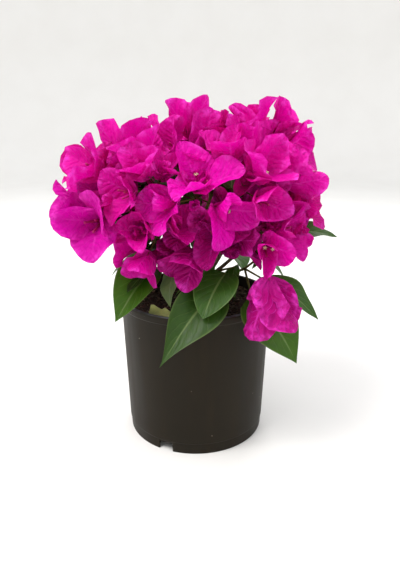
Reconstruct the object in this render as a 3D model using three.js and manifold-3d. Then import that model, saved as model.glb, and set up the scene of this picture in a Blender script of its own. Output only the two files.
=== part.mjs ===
// Bougainvillea bush in a black nursery pot: a low woody plant whose arching branches end in dense
// sprays of papery three-bract flowers, with large leaves that hang over the pot's rim.
// Millimetres, +Z up, the viewer's side is -Y. The origin is under the middle of the pot.

import * as THREE from 'three';
import { mergeVertices } from 'three/addons/utils/BufferGeometryUtils.js';
import Module from 'manifold-3d';

const wasm = await Module();
wasm.setup();

// Pot: a nearly straight tub with a thick rim, on a notched foot ring that holds its floor up.
const POT_HEIGHT = 160;
const POT_RIM_RADIUS = 85;
const POT_TOP_RADIUS = 83.4;
const POT_BASE_RADIUS = 78.7;
const POT_WALL = 2;
const POT_SIDES = 48;
const RIM_DEPTH = 9;
const RIM_ROUND = 1.2;
const FOOT_HEIGHT = 13;
const FOOT_STEP = 0.8;
const FOOT_DRAFT = 0.4;
const NOTCH_WIDTH = 16;
const NOTCH_HEIGHT = 10;
const NOTCH_TURNS = [-115, 5, 125];

// Soil: the potting mix fills the pot to just under its rim.
const SOIL_TOP = 150;
const SOIL_EDGE_DROP = 2;
const SOIL_FLAT_RADIUS = 30;

// Pieces that meet face to face keep this gap. Corners closer than the weld are one corner, and a
// fused mass loses the slivers that are thinner than SLIVER. An arc that turns less is straight.
const CLEAR = 0.3;
const WELD = 1e-4;
const SLIVER = 0.05;
const STRAIGHT = 1e-6;

// Trunk: a short woody stem with a flared foot, cut flat at the soil.
const TRUNK_FOOT = [5, 6, SOIL_TOP + CLEAR];
const TRUNK_TOP = [2, 8, 192];
const TRUNK_FLARE_RADIUS = 9;
const TRUNK_FOOT_RADIUS = 6.4;
const TRUNK_TOP_RADIUS = 4.4;
const FLARE_SHARE = 0.25;
const TRUNK_SIDES = 12;
const TRUNK_STEPS = 12;
const TRUNK_BOW = 0.5;

// Boughs: tapering limbs that leave the trunk in two tiers and end where they enter a mass.
const BOUGH_ROOT_RADIUS = 2.3;
const BOUGH_TIP_RADIUS = 1.7;
const BOUGH_SIDES = 6;
const BOUGH_STEPS = 6;
const BOUGH_CLIMB = 0.75;
const BOUGH_SWING = 0.45;
const LOW_TIER = 0.55;
const HIGH_TIER = 0.86;
const LEAF_TIER = 0.3;

// Twigs inside the masses, three-sided. Branchlets part at the knot, inside the collar's end.
const TWIG_SIDES = 3;
const COLLAR_LENGTH = 7;
const KNOT_DEPTH = 2;
const COLLAR_RADIUS = 1.8;
const BRANCHLET_RADIUS = 1.5;
const BRANCHLET_STEPS = 5;
const BRANCHLET_SWING = 0.4;
const STEM_STEPS = 4;
const PEDUNCLE_RADIUS = 1.1;

// Flowers: three broad bracts round one axis, joined at the throat and parted by notches.
const BRACT_LENGTH = 43;
const BRACT_LENGTH_SPREAD = 0.16;
const BRACT_WIDTH_SHARE = 0.84;
const BRACT_THICKNESS = 1.2;
const BRACT_FOLD = 0.18;
const BRACT_LOBE = 0.06;
const BRACT_TAPER = 0.6;
const BRACTS = 3;
const OPENING = [0.55, 1.05];
const OPEN_AT_BASE = 0.8;
const OPEN_FURTHER = 0.4;
const THROAT_RISE = 2;
const HEEL_DROP = 3;
const FLOWER_NOTCH_RISE = 3;
const FLOWER_NOTCH_RADIUS = 4;
const SECTOR_SLOPE = 1.6;
const FLOWER_SCALES = [1, 0.85, 0.7, 0.55];
const PEDUNCLE_REACH = [10, 27];
const LEAD_TILT = 0.3;
const SIDE_TILT = [0.75, 1.25];
const TURN_PLAY = 0.5;

// Each flower and leaf is tried in poses that are drawn by seed, the later ones a little smaller.
const TRIES = 40;
const LAST_TRY_SCALE = 0.74;
const SEED = 20611;
const LEAF_SEED = 520611;
const SEEDS_PER_SPRAY = 1000;
const SEEDS_PER_PIECE = 100;

// Sprays face away from the crown's core, and a little towards the light.
const CROWN_CORE = [-4, 2, 238];
const LIGHT = [0, 0, 0.2];

// Leaves: pointed ovals that fold a little along the midrib.
const LEAF_THICKNESS = 1.4;
const LEAF_FOLD = 0.22;
const LEAF_LOBE = 0.04;
const LEAF_TAPER = 0.9;
const SPRAY_LEAVES = 2;
const SPRAY_LEAF_LENGTH = 44;
const SPRAY_LEAF_WIDTH_SHARE = 0.56;
const SPRAY_LEAF_BEND = 0.7;
const SPRAY_LEAF_SPREAD = [0.8, 1.2];
const SPRAY_LEAF_FROM = [0.62, 0.9];
const SPRAY_LEAF_TILT = [0.9, 1.6];
const SPRAY_LEAF_DROP = 0.25;
const PETIOLE_SINK = 4;

// Masses of blossom. Each has the tip of its bough, the trunk tier and bearing where that bough starts,
// and its sprays: the hub they branch from and the number of flowers. The lone hanging flower has a
// facing, a twist in degrees, a size and an opening of its own, and no leaves.
const MASSES = [
  {
    name: 'left', tier: LOW_TIER, bearing: 176, fork: [-47, 0, 218],
    sprays: [
      { hub: [-89, 2, 276], flowers: 4 },
      { hub: [-82, -36, 253], flowers: 4 },
      { hub: [-84, 40, 254], flowers: 3 },
    ],
  },
  {
    name: 'upper_left', tier: HIGH_TIER, bearing: 150, fork: [-34, 13, 246],
    sprays: [
      { hub: [-72, -30, 281], flowers: 4 },
      { hub: [-42, 4, 297], flowers: 4 },
      { hub: [-56, 50, 294], flowers: 4 },
    ],
  },
  {
    name: 'front_middle', tier: HIGH_TIER, bearing: 252, fork: [-10, -26, 238],
    sprays: [
      { hub: [-36, -60, 284], flowers: 4 },
      { hub: [2, -66, 276], flowers: 4 },
      { hub: [-10, -40, 240], flowers: 2 },
    ],
  },
  {
    name: 'front_right', tier: HIGH_TIER, bearing: 300, fork: [17, -25, 230],
    sprays: [
      { hub: [42, -56, 282], flowers: 4 },
      { hub: [16, -58, 238], flowers: 4 },
      { hub: [38, -34, 250], flowers: 2 },
    ],
  },
  {
    name: 'top', tier: 1, bearing: 0, fork: [12, 18, 252],
    sprays: [
      { hub: [-3, 10, 301], flowers: 4 },
      { hub: [46, 12, 314], flowers: 4 },
      { hub: [16, 58, 300], flowers: 3 },
    ],
  },
  {
    name: 'upper_right', tier: HIGH_TIER, bearing: 352, fork: [42, 2, 242],
    sprays: [
      { hub: [70, 0, 312], flowers: 4 },
      { hub: [67, -38, 284], flowers: 4 },
      { hub: [68, 46, 292], flowers: 3 },
    ],
  },
  {
    name: 'right', tier: LOW_TIER, bearing: 322, fork: [43, -30, 212],
    sprays: [
      { hub: [84, -28, 250], flowers: 2 },
      { hub: [63, -56, 240], flowers: 4 },
      {
        hub: [69, -89, 214], flowers: 1, facing: [0.1, -0.14, -0.98], twist: 260, size: 1.5,
        opening: [0.38, 0.44],
      },
    ],
  },
  {
    name: 'low_left', tier: LOW_TIER, bearing: 234, fork: [-26, -24, 208],
    sprays: [
      { hub: [-37, -56, 241], flowers: 5 },
      { hub: [-60, -50, 258], flowers: 3 },
    ],
  },
  {
    name: 'back_right', tier: LOW_TIER, bearing: 34, fork: [38, 34, 214],
    sprays: [
      { hub: [46, 62, 256], flowers: 4 },
      { hub: [86, 24, 252], flowers: 3 },
    ],
  },
  {
    name: 'back_left', tier: LOW_TIER, bearing: 112, fork: [-20, 42, 216],
    sprays: [
      { hub: [-62, 52, 246], flowers: 4 },
      { hub: [-24, 61, 276], flowers: 4 },
      { hub: [0, 60, 240], flowers: 3 },
    ],
  },
];

// Low leaves in four groups. Each group has one stem from the trunk to a knuckle, and a petiole to each
// leaf's base. A leaf is its base, its tip, its width, how far its middle arches up, and its roll.
const LOW_LEAVES = [
  {
    name: 'front', bearing: 278, knuckle: [22, -40, 196],
    leaves: [
      { base: [30, -62, 200], tip: [8, -98, 165], width: 40, arch: 6, roll: -8 },
      { base: [20, -64, 180], tip: [-34, -103, 118], width: 48, arch: 12, roll: -28 },
      { base: [18, -48, 198], tip: [-20, -78, 178], width: 38, arch: 5, roll: 30 },
      { base: [40, -50, 204], tip: [40, -74, 178], width: 20, arch: 3, roll: 46 },
    ],
  },
  {
    name: 'left', bearing: 200, knuckle: [-32, -24, 192],
    leaves: [
      { base: [-46, -36, 194], tip: [-80, -70, 150], width: 50, arch: 9, roll: -24 },
      { base: [-20, -44, 199], tip: [-26, -68, 166], width: 24, arch: 4, roll: 30 },
      { base: [-40, -40, 200], tip: [-66, -66, 180], width: 30, arch: 4, roll: 8 },
    ],
  },
  {
    name: 'right', bearing: 338, knuckle: [52, -30, 196],
    leaves: [
      { base: [58, -55, 172], tip: [105, -80, 114], width: 52, arch: 8, roll: 38 },
      { base: [74, -34, 184], tip: [124, -58, 146], width: 38, arch: 8, roll: 14 },
      { base: [104, -10, 232], tip: [149, -22, 225], width: 26, arch: 4, roll: 20 },
    ],
  },
  {
    name: 'back', bearing: 74, knuckle: [4, 46, 194],
    leaves: [
      { base: [30, 66, 192], tip: [62, 102, 150], width: 44, arch: 9, roll: 10 },
      { base: [2, 70, 190], tip: [-2, 112, 136], width: 42, arch: 12, roll: -8 },
      { base: [-24, 62, 194], tip: [-64, 96, 156], width: 42, arch: 8, roll: 12 },
      { base: [-46, 34, 196], tip: [-100, 46, 160], width: 40, arch: 9, roll: -10 },
      { base: [58, 34, 196], tip: [104, 44, 158], width: 40, arch: 8, roll: -6 },
    ],
  },
];

const PLASTIC = { color: 0x2d2c2a, roughness: 0.5, metalness: 0 };
const POTTING_MIX = { color: 0x2e2019, roughness: 1, metalness: 0 };
const BARK = { color: 0x7a6a48, roughness: 0.9, metalness: 0 };
const GREEN_LEAF = { color: 0x3f6a24, roughness: 0.5, metalness: 0 };
const MAGENTA = { color: 0xcc0088, roughness: 0.6, metalness: 0 };

const vec = (a) => new THREE.Vector3(...a);
const radians = THREE.MathUtils.degToRad;
const mix = THREE.MathUtils.lerp;

// Numbers from 0 to 1 that are the same for the same seed.
function stream(seed) {
  let state = seed >>> 0;
  return () => {
    state = (state + 0x6d2b79f5) >>> 0;
    let t = Math.imul(state ^ (state >>> 15), state | 1);
    t ^= t + Math.imul(t ^ (t >>> 7), t | 61);
    return ((t ^ (t >>> 14)) >>> 0) / 2 ** 32;
  };
}

// A closed geometry as a manifold-3d solid.
function solidOf(geometry) {
  const bare = new THREE.BufferGeometry();
  bare.setAttribute('position', geometry.getAttribute('position'));
  if (geometry.index) bare.setIndex(geometry.index);
  const merged = mergeVertices(bare, WELD);
  return new wasm.Manifold(new wasm.Mesh({
    numProp: 3,
    vertProperties: new Float32Array(merged.attributes.position.array),
    triVerts: new Uint32Array(merged.index.array),
  }));
}

// A manifold-3d solid as a geometry.
function geometryOf(solid) {
  const mesh = solid.getMesh();
  const places = new Float32Array(mesh.numVert * 3);
  for (let i = 0; i < mesh.numVert; i++) {
    places.set(mesh.vertProperties.subarray(i * mesh.numProp, i * mesh.numProp + 3), i * 3);
  }
  const geometry = new THREE.BufferGeometry();
  geometry.setAttribute('position', new THREE.BufferAttribute(places, 3));
  geometry.setIndex(new THREE.BufferAttribute(new Uint32Array(mesh.triVerts), 1));
  geometry.computeVertexNormals();
  return geometry;
}

// The largest body of a union, so that loose scraps are dropped and sealed hollows are filled.
function fused(solids) {
  const bodies = wasm.Manifold.union(solids).decompose();
  const largest = bodies.reduce((a, b) => (b.volume() > a.volume() ? b : a));
  return largest.simplify(SLIVER);
}

// A closed tapering limb: a cylinder bent along a curve, with a radius for each share of its length.
function limbGeometry(curve, radiusAt, sides, steps) {
  const geometry = new THREE.CylinderGeometry(1, 1, 1, sides, steps);
  const frames = curve.computeFrenetFrames(steps, false);
  const places = geometry.attributes.position;
  for (let i = 0; i < places.count; i++) {
    const share = places.getY(i) + 0.5;
    const k = Math.round(share * steps);
    const r = radiusAt(share);
    const p = curve.getPointAt(share);
    p.addScaledVector(frames.normals[k], places.getX(i) * r);
    p.addScaledVector(frames.binormals[k], -places.getZ(i) * r);
    places.setXYZ(i, p.x, p.y, p.z);
  }
  return geometry;
}

// A straight or gently bent twig between two points that leaves along a direction.
function bent(from, to, leaving, reach) {
  const pull = from.clone().addScaledVector(leaving, from.distanceTo(to) * reach);
  return new THREE.QuadraticBezierCurve3(from, pull, to);
}

function twig(curve, rootRadius, tipRadius, steps, sides = TWIG_SIDES) {
  return solidOf(limbGeometry(curve, (s) => mix(rootRadius, tipRadius, s), sides, steps));
}

// Half the width of a blade at a share u of its length, as a share of its greatest half width. A low
// taper gives a round end with a short point, and a high one a long point.
function outline(u, taper) {
  const widest = 0.5 / (0.5 + taper);
  return Math.sqrt(u / widest) * ((1 - u) / (1 - widest)) ** taper;
}

// A point of a blade's middle surface. The midrib is an arc that starts at the angle rise to the x axis
// and turns through bend; the sides are folded up towards z, and lobes reach back past the root.
function bladePoint(blade, u, v) {
  const half = (blade.width / 2) * outline(u, blade.taper) * v;
  const angle = blade.rise + blade.bend * u;
  const turn = Math.abs(blade.bend) < STRAIGHT ? STRAIGHT : blade.bend;
  const along = (blade.length * (Math.sin(angle) - Math.sin(blade.rise))) / turn;
  const up = (blade.length * (Math.cos(blade.rise) - Math.cos(angle))) / turn;
  const back = blade.lobe * blade.length * v * v * (1 - u) ** 4;
  const lift = blade.fold * Math.abs(half);
  return blade.root.clone()
    .addScaledVector(blade.x, along - back * Math.cos(angle) - lift * Math.sin(angle))
    .addScaledVector(blade.z, up - back * Math.sin(angle) + lift * Math.cos(angle))
    .addScaledVector(blade.y, half);
}

// The places of a blade's corners, as a share of its length and a side.
const RING = [[0, 0], [0.12, 1], [0.42, 1], [0.78, 1], [1, 0], [0.78, -1], [0.42, -1], [0.12, -1]];
const LOBE_RING = [[0.32, -1], [0.74, -1], [1, 0], [0.74, 1], [0.32, 1]];
const BLADE_MIDDLE = 0.42;

// The coarse blade that the layout tests: a ring of eight points round one middle point.
function coarse(blade) {
  const ring = RING.map(([u, v]) => bladePoint(blade, u, v));
  const middle = bladePoint(blade, BLADE_MIDDLE, 0);
  const faces = ring.map((p, i) => [p, ring[(i + 1) % ring.length], middle]);
  const edges = faces.flatMap(([a, b, c]) => [[a, b], [a, c]]);
  const box = new THREE.Box3().setFromPoints([...ring, middle]);
  return { ring, middle, faces, edges, box };
}

// The same blade as a thin closed solid, thickest along the midrib.
function bladeSolid(blade, thickness) {
  const angle = blade.rise + blade.bend * BLADE_MIDDLE;
  const normal = blade.x.clone().multiplyScalar(-Math.sin(angle))
    .addScaledVector(blade.z, Math.cos(angle));
  const { ring, middle } = coarse(blade);
  const upper = middle.clone().addScaledVector(normal, thickness / 2);
  const lower = middle.clone().addScaledVector(normal, -thickness / 2);
  const corners = [...ring, upper, lower];
  const top = ring.length;
  const index = ring.flatMap((_, i) => {
    const next = (i + 1) % ring.length;
    return [next, i, top, i, next, top + 1];
  });
  const geometry = new THREE.BufferGeometry();
  geometry.setAttribute('position', new THREE.Float32BufferAttribute(
    corners.flatMap((p) => p.toArray()), 3));
  geometry.setIndex(index);
  return solidOf(geometry);
}

// Whether the segment from a to b passes through a triangle.
function pierces([a, b], [p, q, r]) {
  const way = b.clone().sub(a);
  const side = q.clone().sub(p);
  const other = r.clone().sub(p);
  const across = way.clone().cross(other);
  const det = side.dot(across);
  if (Math.abs(det) < 1e-9) return false;
  const from = a.clone().sub(p);
  const s = from.dot(across) / det;
  if (s < 0 || s > 1) return false;
  const turned = from.clone().cross(side);
  const t = way.dot(turned) / det;
  if (t < 0 || s + t > 1) return false;
  const share = other.dot(turned) / det;
  return share >= 0 && share <= 1;
}

// How many times a blade crosses the blades and the twigs that are already placed.
function crossings(piece, placed, stems) {
  let count = 0;
  for (const other of placed) {
    if (!piece.box.intersectsBox(other.box)) continue;
    for (const edge of piece.edges) {
      for (const face of other.faces) count += pierces(edge, face);
    }
    for (const edge of other.edges) {
      for (const face of piece.faces) count += pierces(edge, face);
    }
  }
  for (const stem of stems) {
    for (const face of piece.faces) count += pierces(stem, face);
  }
  return count;
}

// A direction tilted away from an axis, at a turn round it.
function tilted(axis, tilt, turn) {
  const helper = Math.abs(axis.z) < 0.9 ? new THREE.Vector3(0, 0, 1) : new THREE.Vector3(1, 0, 0);
  const side = helper.cross(axis).normalize();
  const up = axis.clone().cross(side);
  return axis.clone().multiplyScalar(Math.cos(tilt))
    .addScaledVector(side, Math.sin(tilt) * Math.cos(turn))
    .addScaledVector(up, Math.sin(tilt) * Math.sin(turn));
}

// One flower: where its peduncle ends, its axis and its three bracts.
function flower(base, axis, twist, opening, length) {
  const bracts = [];
  for (let j = 0; j < BRACTS; j++) {
    const outward = tilted(axis, Math.PI / 2, twist + (2 * Math.PI * j) / BRACTS);
    bracts.push({
      root: base.clone(),
      x: axis.clone(),
      y: axis.clone().cross(outward),
      z: outward.clone().negate(),
      length,
      width: length * BRACT_WIDTH_SHARE,
      rise: -opening * OPEN_AT_BASE,
      bend: -opening * OPEN_FURTHER,
      fold: BRACT_FOLD,
      lobe: BRACT_LOBE,
      taper: BRACT_TAPER,
    });
  }
  return { base, axis, bracts };
}

// A flower and its peduncle as one closed solid. Each bract keeps to its own third of the turn round the
// axis, where a fan of faces above and one below join its rim to the throat, the notch at each side and
// the top of the three-sided peduncle.
function flowerSolid({ base, axis, bracts, stalk }, scale) {
  const corners = [base.clone().addScaledVector(axis, THROAT_RISE)];
  const heel = base.clone().addScaledVector(axis, -HEEL_DROP);
  const perBract = LOBE_RING.length + 5;
  const index = [];
  bracts.forEach((bract, j) => {
    const first = 1 + j * perBract;
    const nextNotch = 1 + ((j + 1) % BRACTS) * perBract;
    const outward = bract.z.clone().negate();
    const sideways = outward.clone().multiplyScalar(Math.cos(Math.PI / BRACTS))
      .addScaledVector(bract.y, -Math.sin(Math.PI / BRACTS));
    const blade = { ...bract, length: bract.length * scale, width: bract.width * scale };
    const rim = LOBE_RING.map(([u, v]) => {
      const p = bladePoint(blade, u, v).sub(base);
      const limit = SECTOR_SLOPE * p.dot(outward);
      const aside = p.dot(bract.y);
      return p.addScaledVector(bract.y, THREE.MathUtils.clamp(aside, -limit, limit) - aside).add(base);
    });
    const middle = bladePoint(blade, BLADE_MIDDLE, 0);
    const angle = blade.rise + blade.bend * BLADE_MIDDLE;
    const normal = axis.clone().multiplyScalar(-Math.sin(angle)).addScaledVector(bract.z, Math.cos(angle));
    corners.push(
      base.clone().addScaledVector(axis, FLOWER_NOTCH_RISE).addScaledVector(sideways, FLOWER_NOTCH_RADIUS),
      ...rim,
      middle.clone().addScaledVector(normal, BRACT_THICKNESS / 2),
      middle.clone().addScaledVector(normal, -BRACT_THICKNESS / 2),
      heel.clone().addScaledVector(sideways, PEDUNCLE_RADIUS),
      stalk[0].clone().addScaledVector(sideways, PEDUNCLE_RADIUS));
    const upper = first + LOBE_RING.length + 1;
    const side = [...LOBE_RING.keys()].map((k) => first + 1 + k);
    const toHeel = LOBE_RING.length + 3;
    const above = [0, first, ...side, nextNotch];
    const below = [first + toHeel, first, ...side, nextNotch, nextNotch + toHeel];
    above.forEach((corner, k) => index.push(corner, above[(k + 1) % above.length], upper));
    below.forEach((corner, k) => index.push(below[(k + 1) % below.length], corner, upper + 1));
    const [near, far, nearFoot, farFoot] = [
      first + toHeel, nextNotch + toHeel, first + toHeel + 1, nextNotch + toHeel + 1];
    index.push(near, nearFoot, farFoot, near, farFoot, far);
  });
  const foot = perBract;
  index.push(foot, foot + 2 * perBract, foot + perBract);
  const geometry = new THREE.BufferGeometry();
  geometry.setAttribute('position', new THREE.Float32BufferAttribute(
    corners.flatMap((p) => p.toArray()), 3));
  geometry.setIndex(index);
  return solidOf(geometry);
}

// The flowers of one spray. Each is tried in several seeded poses, and keeps the one that crosses least.
function layFlowers(spray, number, placed, stems) {
  const hub = vec(spray.hub);
  const out = spray.facing ? vec(spray.facing).normalize()
    : hub.clone().sub(vec(CROWN_CORE)).normalize().add(vec(LIGHT)).normalize();
  const lead = spray.facing ? 0 : LEAD_TILT;
  const laid = [];
  for (let k = 0; k < spray.flowers; k++) {
    let best = null;
    for (let attempt = 0; attempt < TRIES; attempt++) {
      const rnd = stream(SEED + SEEDS_PER_SPRAY * number + SEEDS_PER_PIECE * k + attempt);
      const tilt = k === 0 ? lead * rnd() : mix(...SIDE_TILT, rnd());
      const turn = (2 * Math.PI * (k + TURN_PLAY * rnd())) / Math.max(1, spray.flowers - 1) + number;
      const axis = tilted(out, tilt, turn);
      const base = hub.clone().addScaledVector(axis, mix(...PEDUNCLE_REACH, rnd()));
      const shrink = mix(1, LAST_TRY_SCALE, attempt / TRIES);
      const length = BRACT_LENGTH * shrink * (spray.size ?? 1)
        * (1 + BRACT_LENGTH_SPREAD * (2 * rnd() - 1));
      const drawn = 2 * Math.PI * rnd();
      const twist = spray.facing ? radians(spray.twist) : drawn;
      const made = flower(base, axis, twist, mix(...(spray.opening ?? OPENING), rnd()), length);
      const pieces = made.bracts.map(coarse);
      const stalk = [hub, base];
      const count = pieces.reduce((sum, piece) => sum + crossings(piece, placed, stems), 0)
        + placed.reduce((sum, other) => sum + other.faces.filter((f) => pierces(stalk, f)).length, 0);
      if (!best || count < best.count) best = { ...made, pieces, stalk, count };
      if (count === 0) break;
    }
    laid.push(best);
    placed.push(...best.pieces);
    stems.push(best.stalk);
  }
  return laid;
}

// Leaves under a spray, on its branchlet: each points out and down, and one that would cross is skipped.
function layLeaves(spray, number, branchlet, placed, stems) {
  if (spray.facing) return [];
  const hub = vec(spray.hub);
  const out = hub.clone().sub(vec(CROWN_CORE)).normalize();
  const laid = [];
  for (let k = 0; k < SPRAY_LEAVES; k++) {
    for (let attempt = 0; attempt < TRIES; attempt++) {
      const rnd = stream(LEAF_SEED + SEEDS_PER_SPRAY * number + SEEDS_PER_PIECE * k + attempt);
      const from = branchlet.getPointAt(mix(...SPRAY_LEAF_FROM, rnd()));
      const x = tilted(out, mix(...SPRAY_LEAF_TILT, rnd()), 2 * Math.PI * rnd());
      x.z -= SPRAY_LEAF_DROP;
      x.normalize();
      const y = new THREE.Vector3(0, 0, 1).cross(x).normalize();
      const z = x.clone().cross(y);
      const length = SPRAY_LEAF_LENGTH * mix(...SPRAY_LEAF_SPREAD, rnd());
      const blade = {
        root: from, x, y, z, length, width: length * SPRAY_LEAF_WIDTH_SHARE,
        rise: 0, bend: -SPRAY_LEAF_BEND, fold: LEAF_FOLD, lobe: 0, taper: LEAF_TAPER,
      };
      const piece = coarse(blade);
      if (crossings(piece, placed, stems) > 0) continue;
      laid.push(blade);
      placed.push(piece);
      break;
    }
  }
  return laid;
}

// A low leaf from its base, tip, width, arch and roll: the arc through them gives its bend.
function lowLeafBlade({ base, tip, width, arch, roll }) {
  const root = vec(base);
  const chord = vec(tip).sub(root);
  const length = chord.length();
  const way = chord.normalize();
  const half = Math.atan2(2 * arch, length);
  const level = new THREE.Vector3(0, 0, 1).cross(way).normalize();
  const y = level.applyAxisAngle(way, radians(roll));
  const normal = way.clone().cross(y);
  const lean = 2 * half;
  const x = way.clone().multiplyScalar(Math.cos(lean)).addScaledVector(normal, Math.sin(lean));
  const z = x.clone().cross(y);
  const stretch = lean / Math.sin(lean);
  return {
    root, x, y, z, length: length * stretch, width,
    rise: 0, bend: -2 * lean, fold: LEAF_FOLD, lobe: LEAF_LOBE, taper: LEAF_TAPER,
  };
}

// The trunk's centreline, and its radius at a share of its height.
const trunkLine = bent(vec(TRUNK_FOOT), vec(TRUNK_TOP), new THREE.Vector3(0, 0, 1), TRUNK_BOW);
function trunkRadius(share) {
  const flare = (TRUNK_FLARE_RADIUS - TRUNK_FOOT_RADIUS) * Math.max(0, 1 - share / FLARE_SHARE) ** 2;
  return mix(TRUNK_FOOT_RADIUS, TRUNK_TOP_RADIUS, share) + flare;
}

// A limb's route from the trunk's side, or from its top where the tier is 1, to a point of the crown.
function limbRoute(tier, bearing, to, radius) {
  const centre = trunkLine.getPointAt(tier);
  if (tier === 1) {
    const upward = trunkLine.getTangentAt(1);
    return bent(centre.addScaledVector(upward, CLEAR), vec(to), upward, BOUGH_SWING);
  }
  const side = new THREE.Vector3(Math.cos(radians(bearing)), Math.sin(radians(bearing)), 0);
  const leaving = side.clone().add(new THREE.Vector3(0, 0, BOUGH_CLIMB)).normalize();
  const from = centre.addScaledVector(side, trunkRadius(tier) + CLEAR + radius * leaving.z);
  return bent(from, vec(to), leaving, BOUGH_SWING);
}

// The straight stretches of a curve, as pairs of points.
function polyline(curve, steps) {
  const points = curve.getSpacedPoints(steps);
  return points.slice(1).map((p, i) => [points[i], p]);
}

// Lays out the whole crown: limbs first, then low leaves, flowers and spray leaves.
function layCrown() {
  const placed = [];
  const stems = [];
  const masses = MASSES.map((mass) => {
    const bough = limbRoute(mass.tier, mass.bearing, mass.fork, BOUGH_ROOT_RADIUS);
    const heading = bough.getTangentAt(1);
    const beyond = (distance) => vec(mass.fork).addScaledVector(heading, distance);
    const collar = new THREE.LineCurve3(beyond(CLEAR), beyond(COLLAR_LENGTH));
    const knot = beyond(COLLAR_LENGTH - KNOT_DEPTH);
    const branchlets = mass.sprays.map((spray) => bent(knot, vec(spray.hub), heading, BRANCHLET_SWING));
    stems.push(...polyline(bough, BOUGH_STEPS), ...branchlets.flatMap((b) => polyline(b, BRANCHLET_STEPS)));
    return { ...mass, bough, collar, branchlets };
  });
  const low = LOW_LEAVES.map((group) => {
    const stem = limbRoute(LEAF_TIER, group.bearing, group.knuckle, COLLAR_RADIUS);
    const blades = group.leaves.map(lowLeafBlade);
    stems.push(...polyline(stem, STEM_STEPS));
    placed.push(...blades.map(coarse));
    return { ...group, stem, blades };
  });
  const order = masses.flatMap((mass) => mass.sprays.map((spray, i) => ({ mass, spray, i })));
  order.sort((a, b) => a.spray.hub[1] - b.spray.hub[1]);
  const flowers = order.flatMap(({ mass, spray }, number) => (
    layFlowers(spray, number, placed, stems).map((blossom) => ({ mass, blossom }))));
  const leaves = order.flatMap(({ mass, spray, i }, number) => (
    layLeaves(spray, number, mass.branchlets[i], placed, stems).map((blade) => ({ mass, blade }))));
  return { masses, low, flowers, leaves };
}

// The pot's outside radius at a height, between its foot ring and its rim.
function potOuter(z) {
  return mix(POT_BASE_RADIUS, POT_TOP_RADIUS, (z - FOOT_HEIGHT) / (POT_HEIGHT - RIM_DEPTH - FOOT_HEIGHT));
}

// A solid turned round the Z axis from its profile of radius and height.
function turned(profile) {
  const points = profile.map(([r, z]) => new THREE.Vector2(r, z));
  return solidOf(new THREE.LatheGeometry(points, POT_SIDES).rotateX(Math.PI / 2));
}

// The pot: wall, raised floor, rolled rim and foot ring, with a notch cut in the ring at each turn.
function potSolid() {
  const foot = POT_BASE_RADIUS - FOOT_STEP;
  const rimFoot = POT_HEIGHT - RIM_DEPTH;
  const body = turned([
    [0, FOOT_HEIGHT],
    [foot - POT_WALL, FOOT_HEIGHT],
    [foot - POT_WALL - FOOT_DRAFT, 0],
    [foot - FOOT_DRAFT, 0],
    [foot, FOOT_HEIGHT - FOOT_STEP],
    [POT_BASE_RADIUS, FOOT_HEIGHT],
    [potOuter(rimFoot), rimFoot],
    [POT_RIM_RADIUS - RIM_ROUND / 2, rimFoot + RIM_ROUND],
    [POT_RIM_RADIUS, POT_HEIGHT - RIM_ROUND],
    [POT_RIM_RADIUS - RIM_ROUND, POT_HEIGHT],
    [potOuter(POT_HEIGHT) - POT_WALL, POT_HEIGHT],
    [POT_BASE_RADIUS - POT_WALL, FOOT_HEIGHT + POT_WALL],
    [0, FOOT_HEIGHT + POT_WALL],
  ]);
  const notches = NOTCH_TURNS.map((turn) => {
    const box = new THREE.BoxGeometry(4 * POT_WALL, NOTCH_WIDTH, 2 * NOTCH_HEIGHT);
    box.translate(foot - POT_WALL / 2, 0, 0).rotateZ(radians(turn));
    return solidOf(box);
  });
  return body.subtract(wasm.Manifold.union(notches));
}

// The potting mix, flat round the trunk and a little lower at the wall.
function soilSolid() {
  const floor = FOOT_HEIGHT + POT_WALL + CLEAR;
  const edge = SOIL_TOP - SOIL_EDGE_DROP;
  return turned([
    [0, floor],
    [potOuter(floor) - POT_WALL - 2 * CLEAR, floor],
    [potOuter(edge) - POT_WALL - 2 * CLEAR, edge],
    [SOIL_FLAT_RADIUS, SOIL_TOP],
    [0, SOIL_TOP],
  ]);
}

// Puts a piece in its node if it keeps clear of every other node's pieces, and says whether it did.
function keeper(nodes) {
  return (node, solid) => {
    const clear = nodes.every((other) => other === node
      || other.solids.every((s) => s.minGap(solid, 2 * CLEAR) >= CLEAR));
    if (clear) node.solids.push(solid);
    return clear;
  };
}

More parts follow.
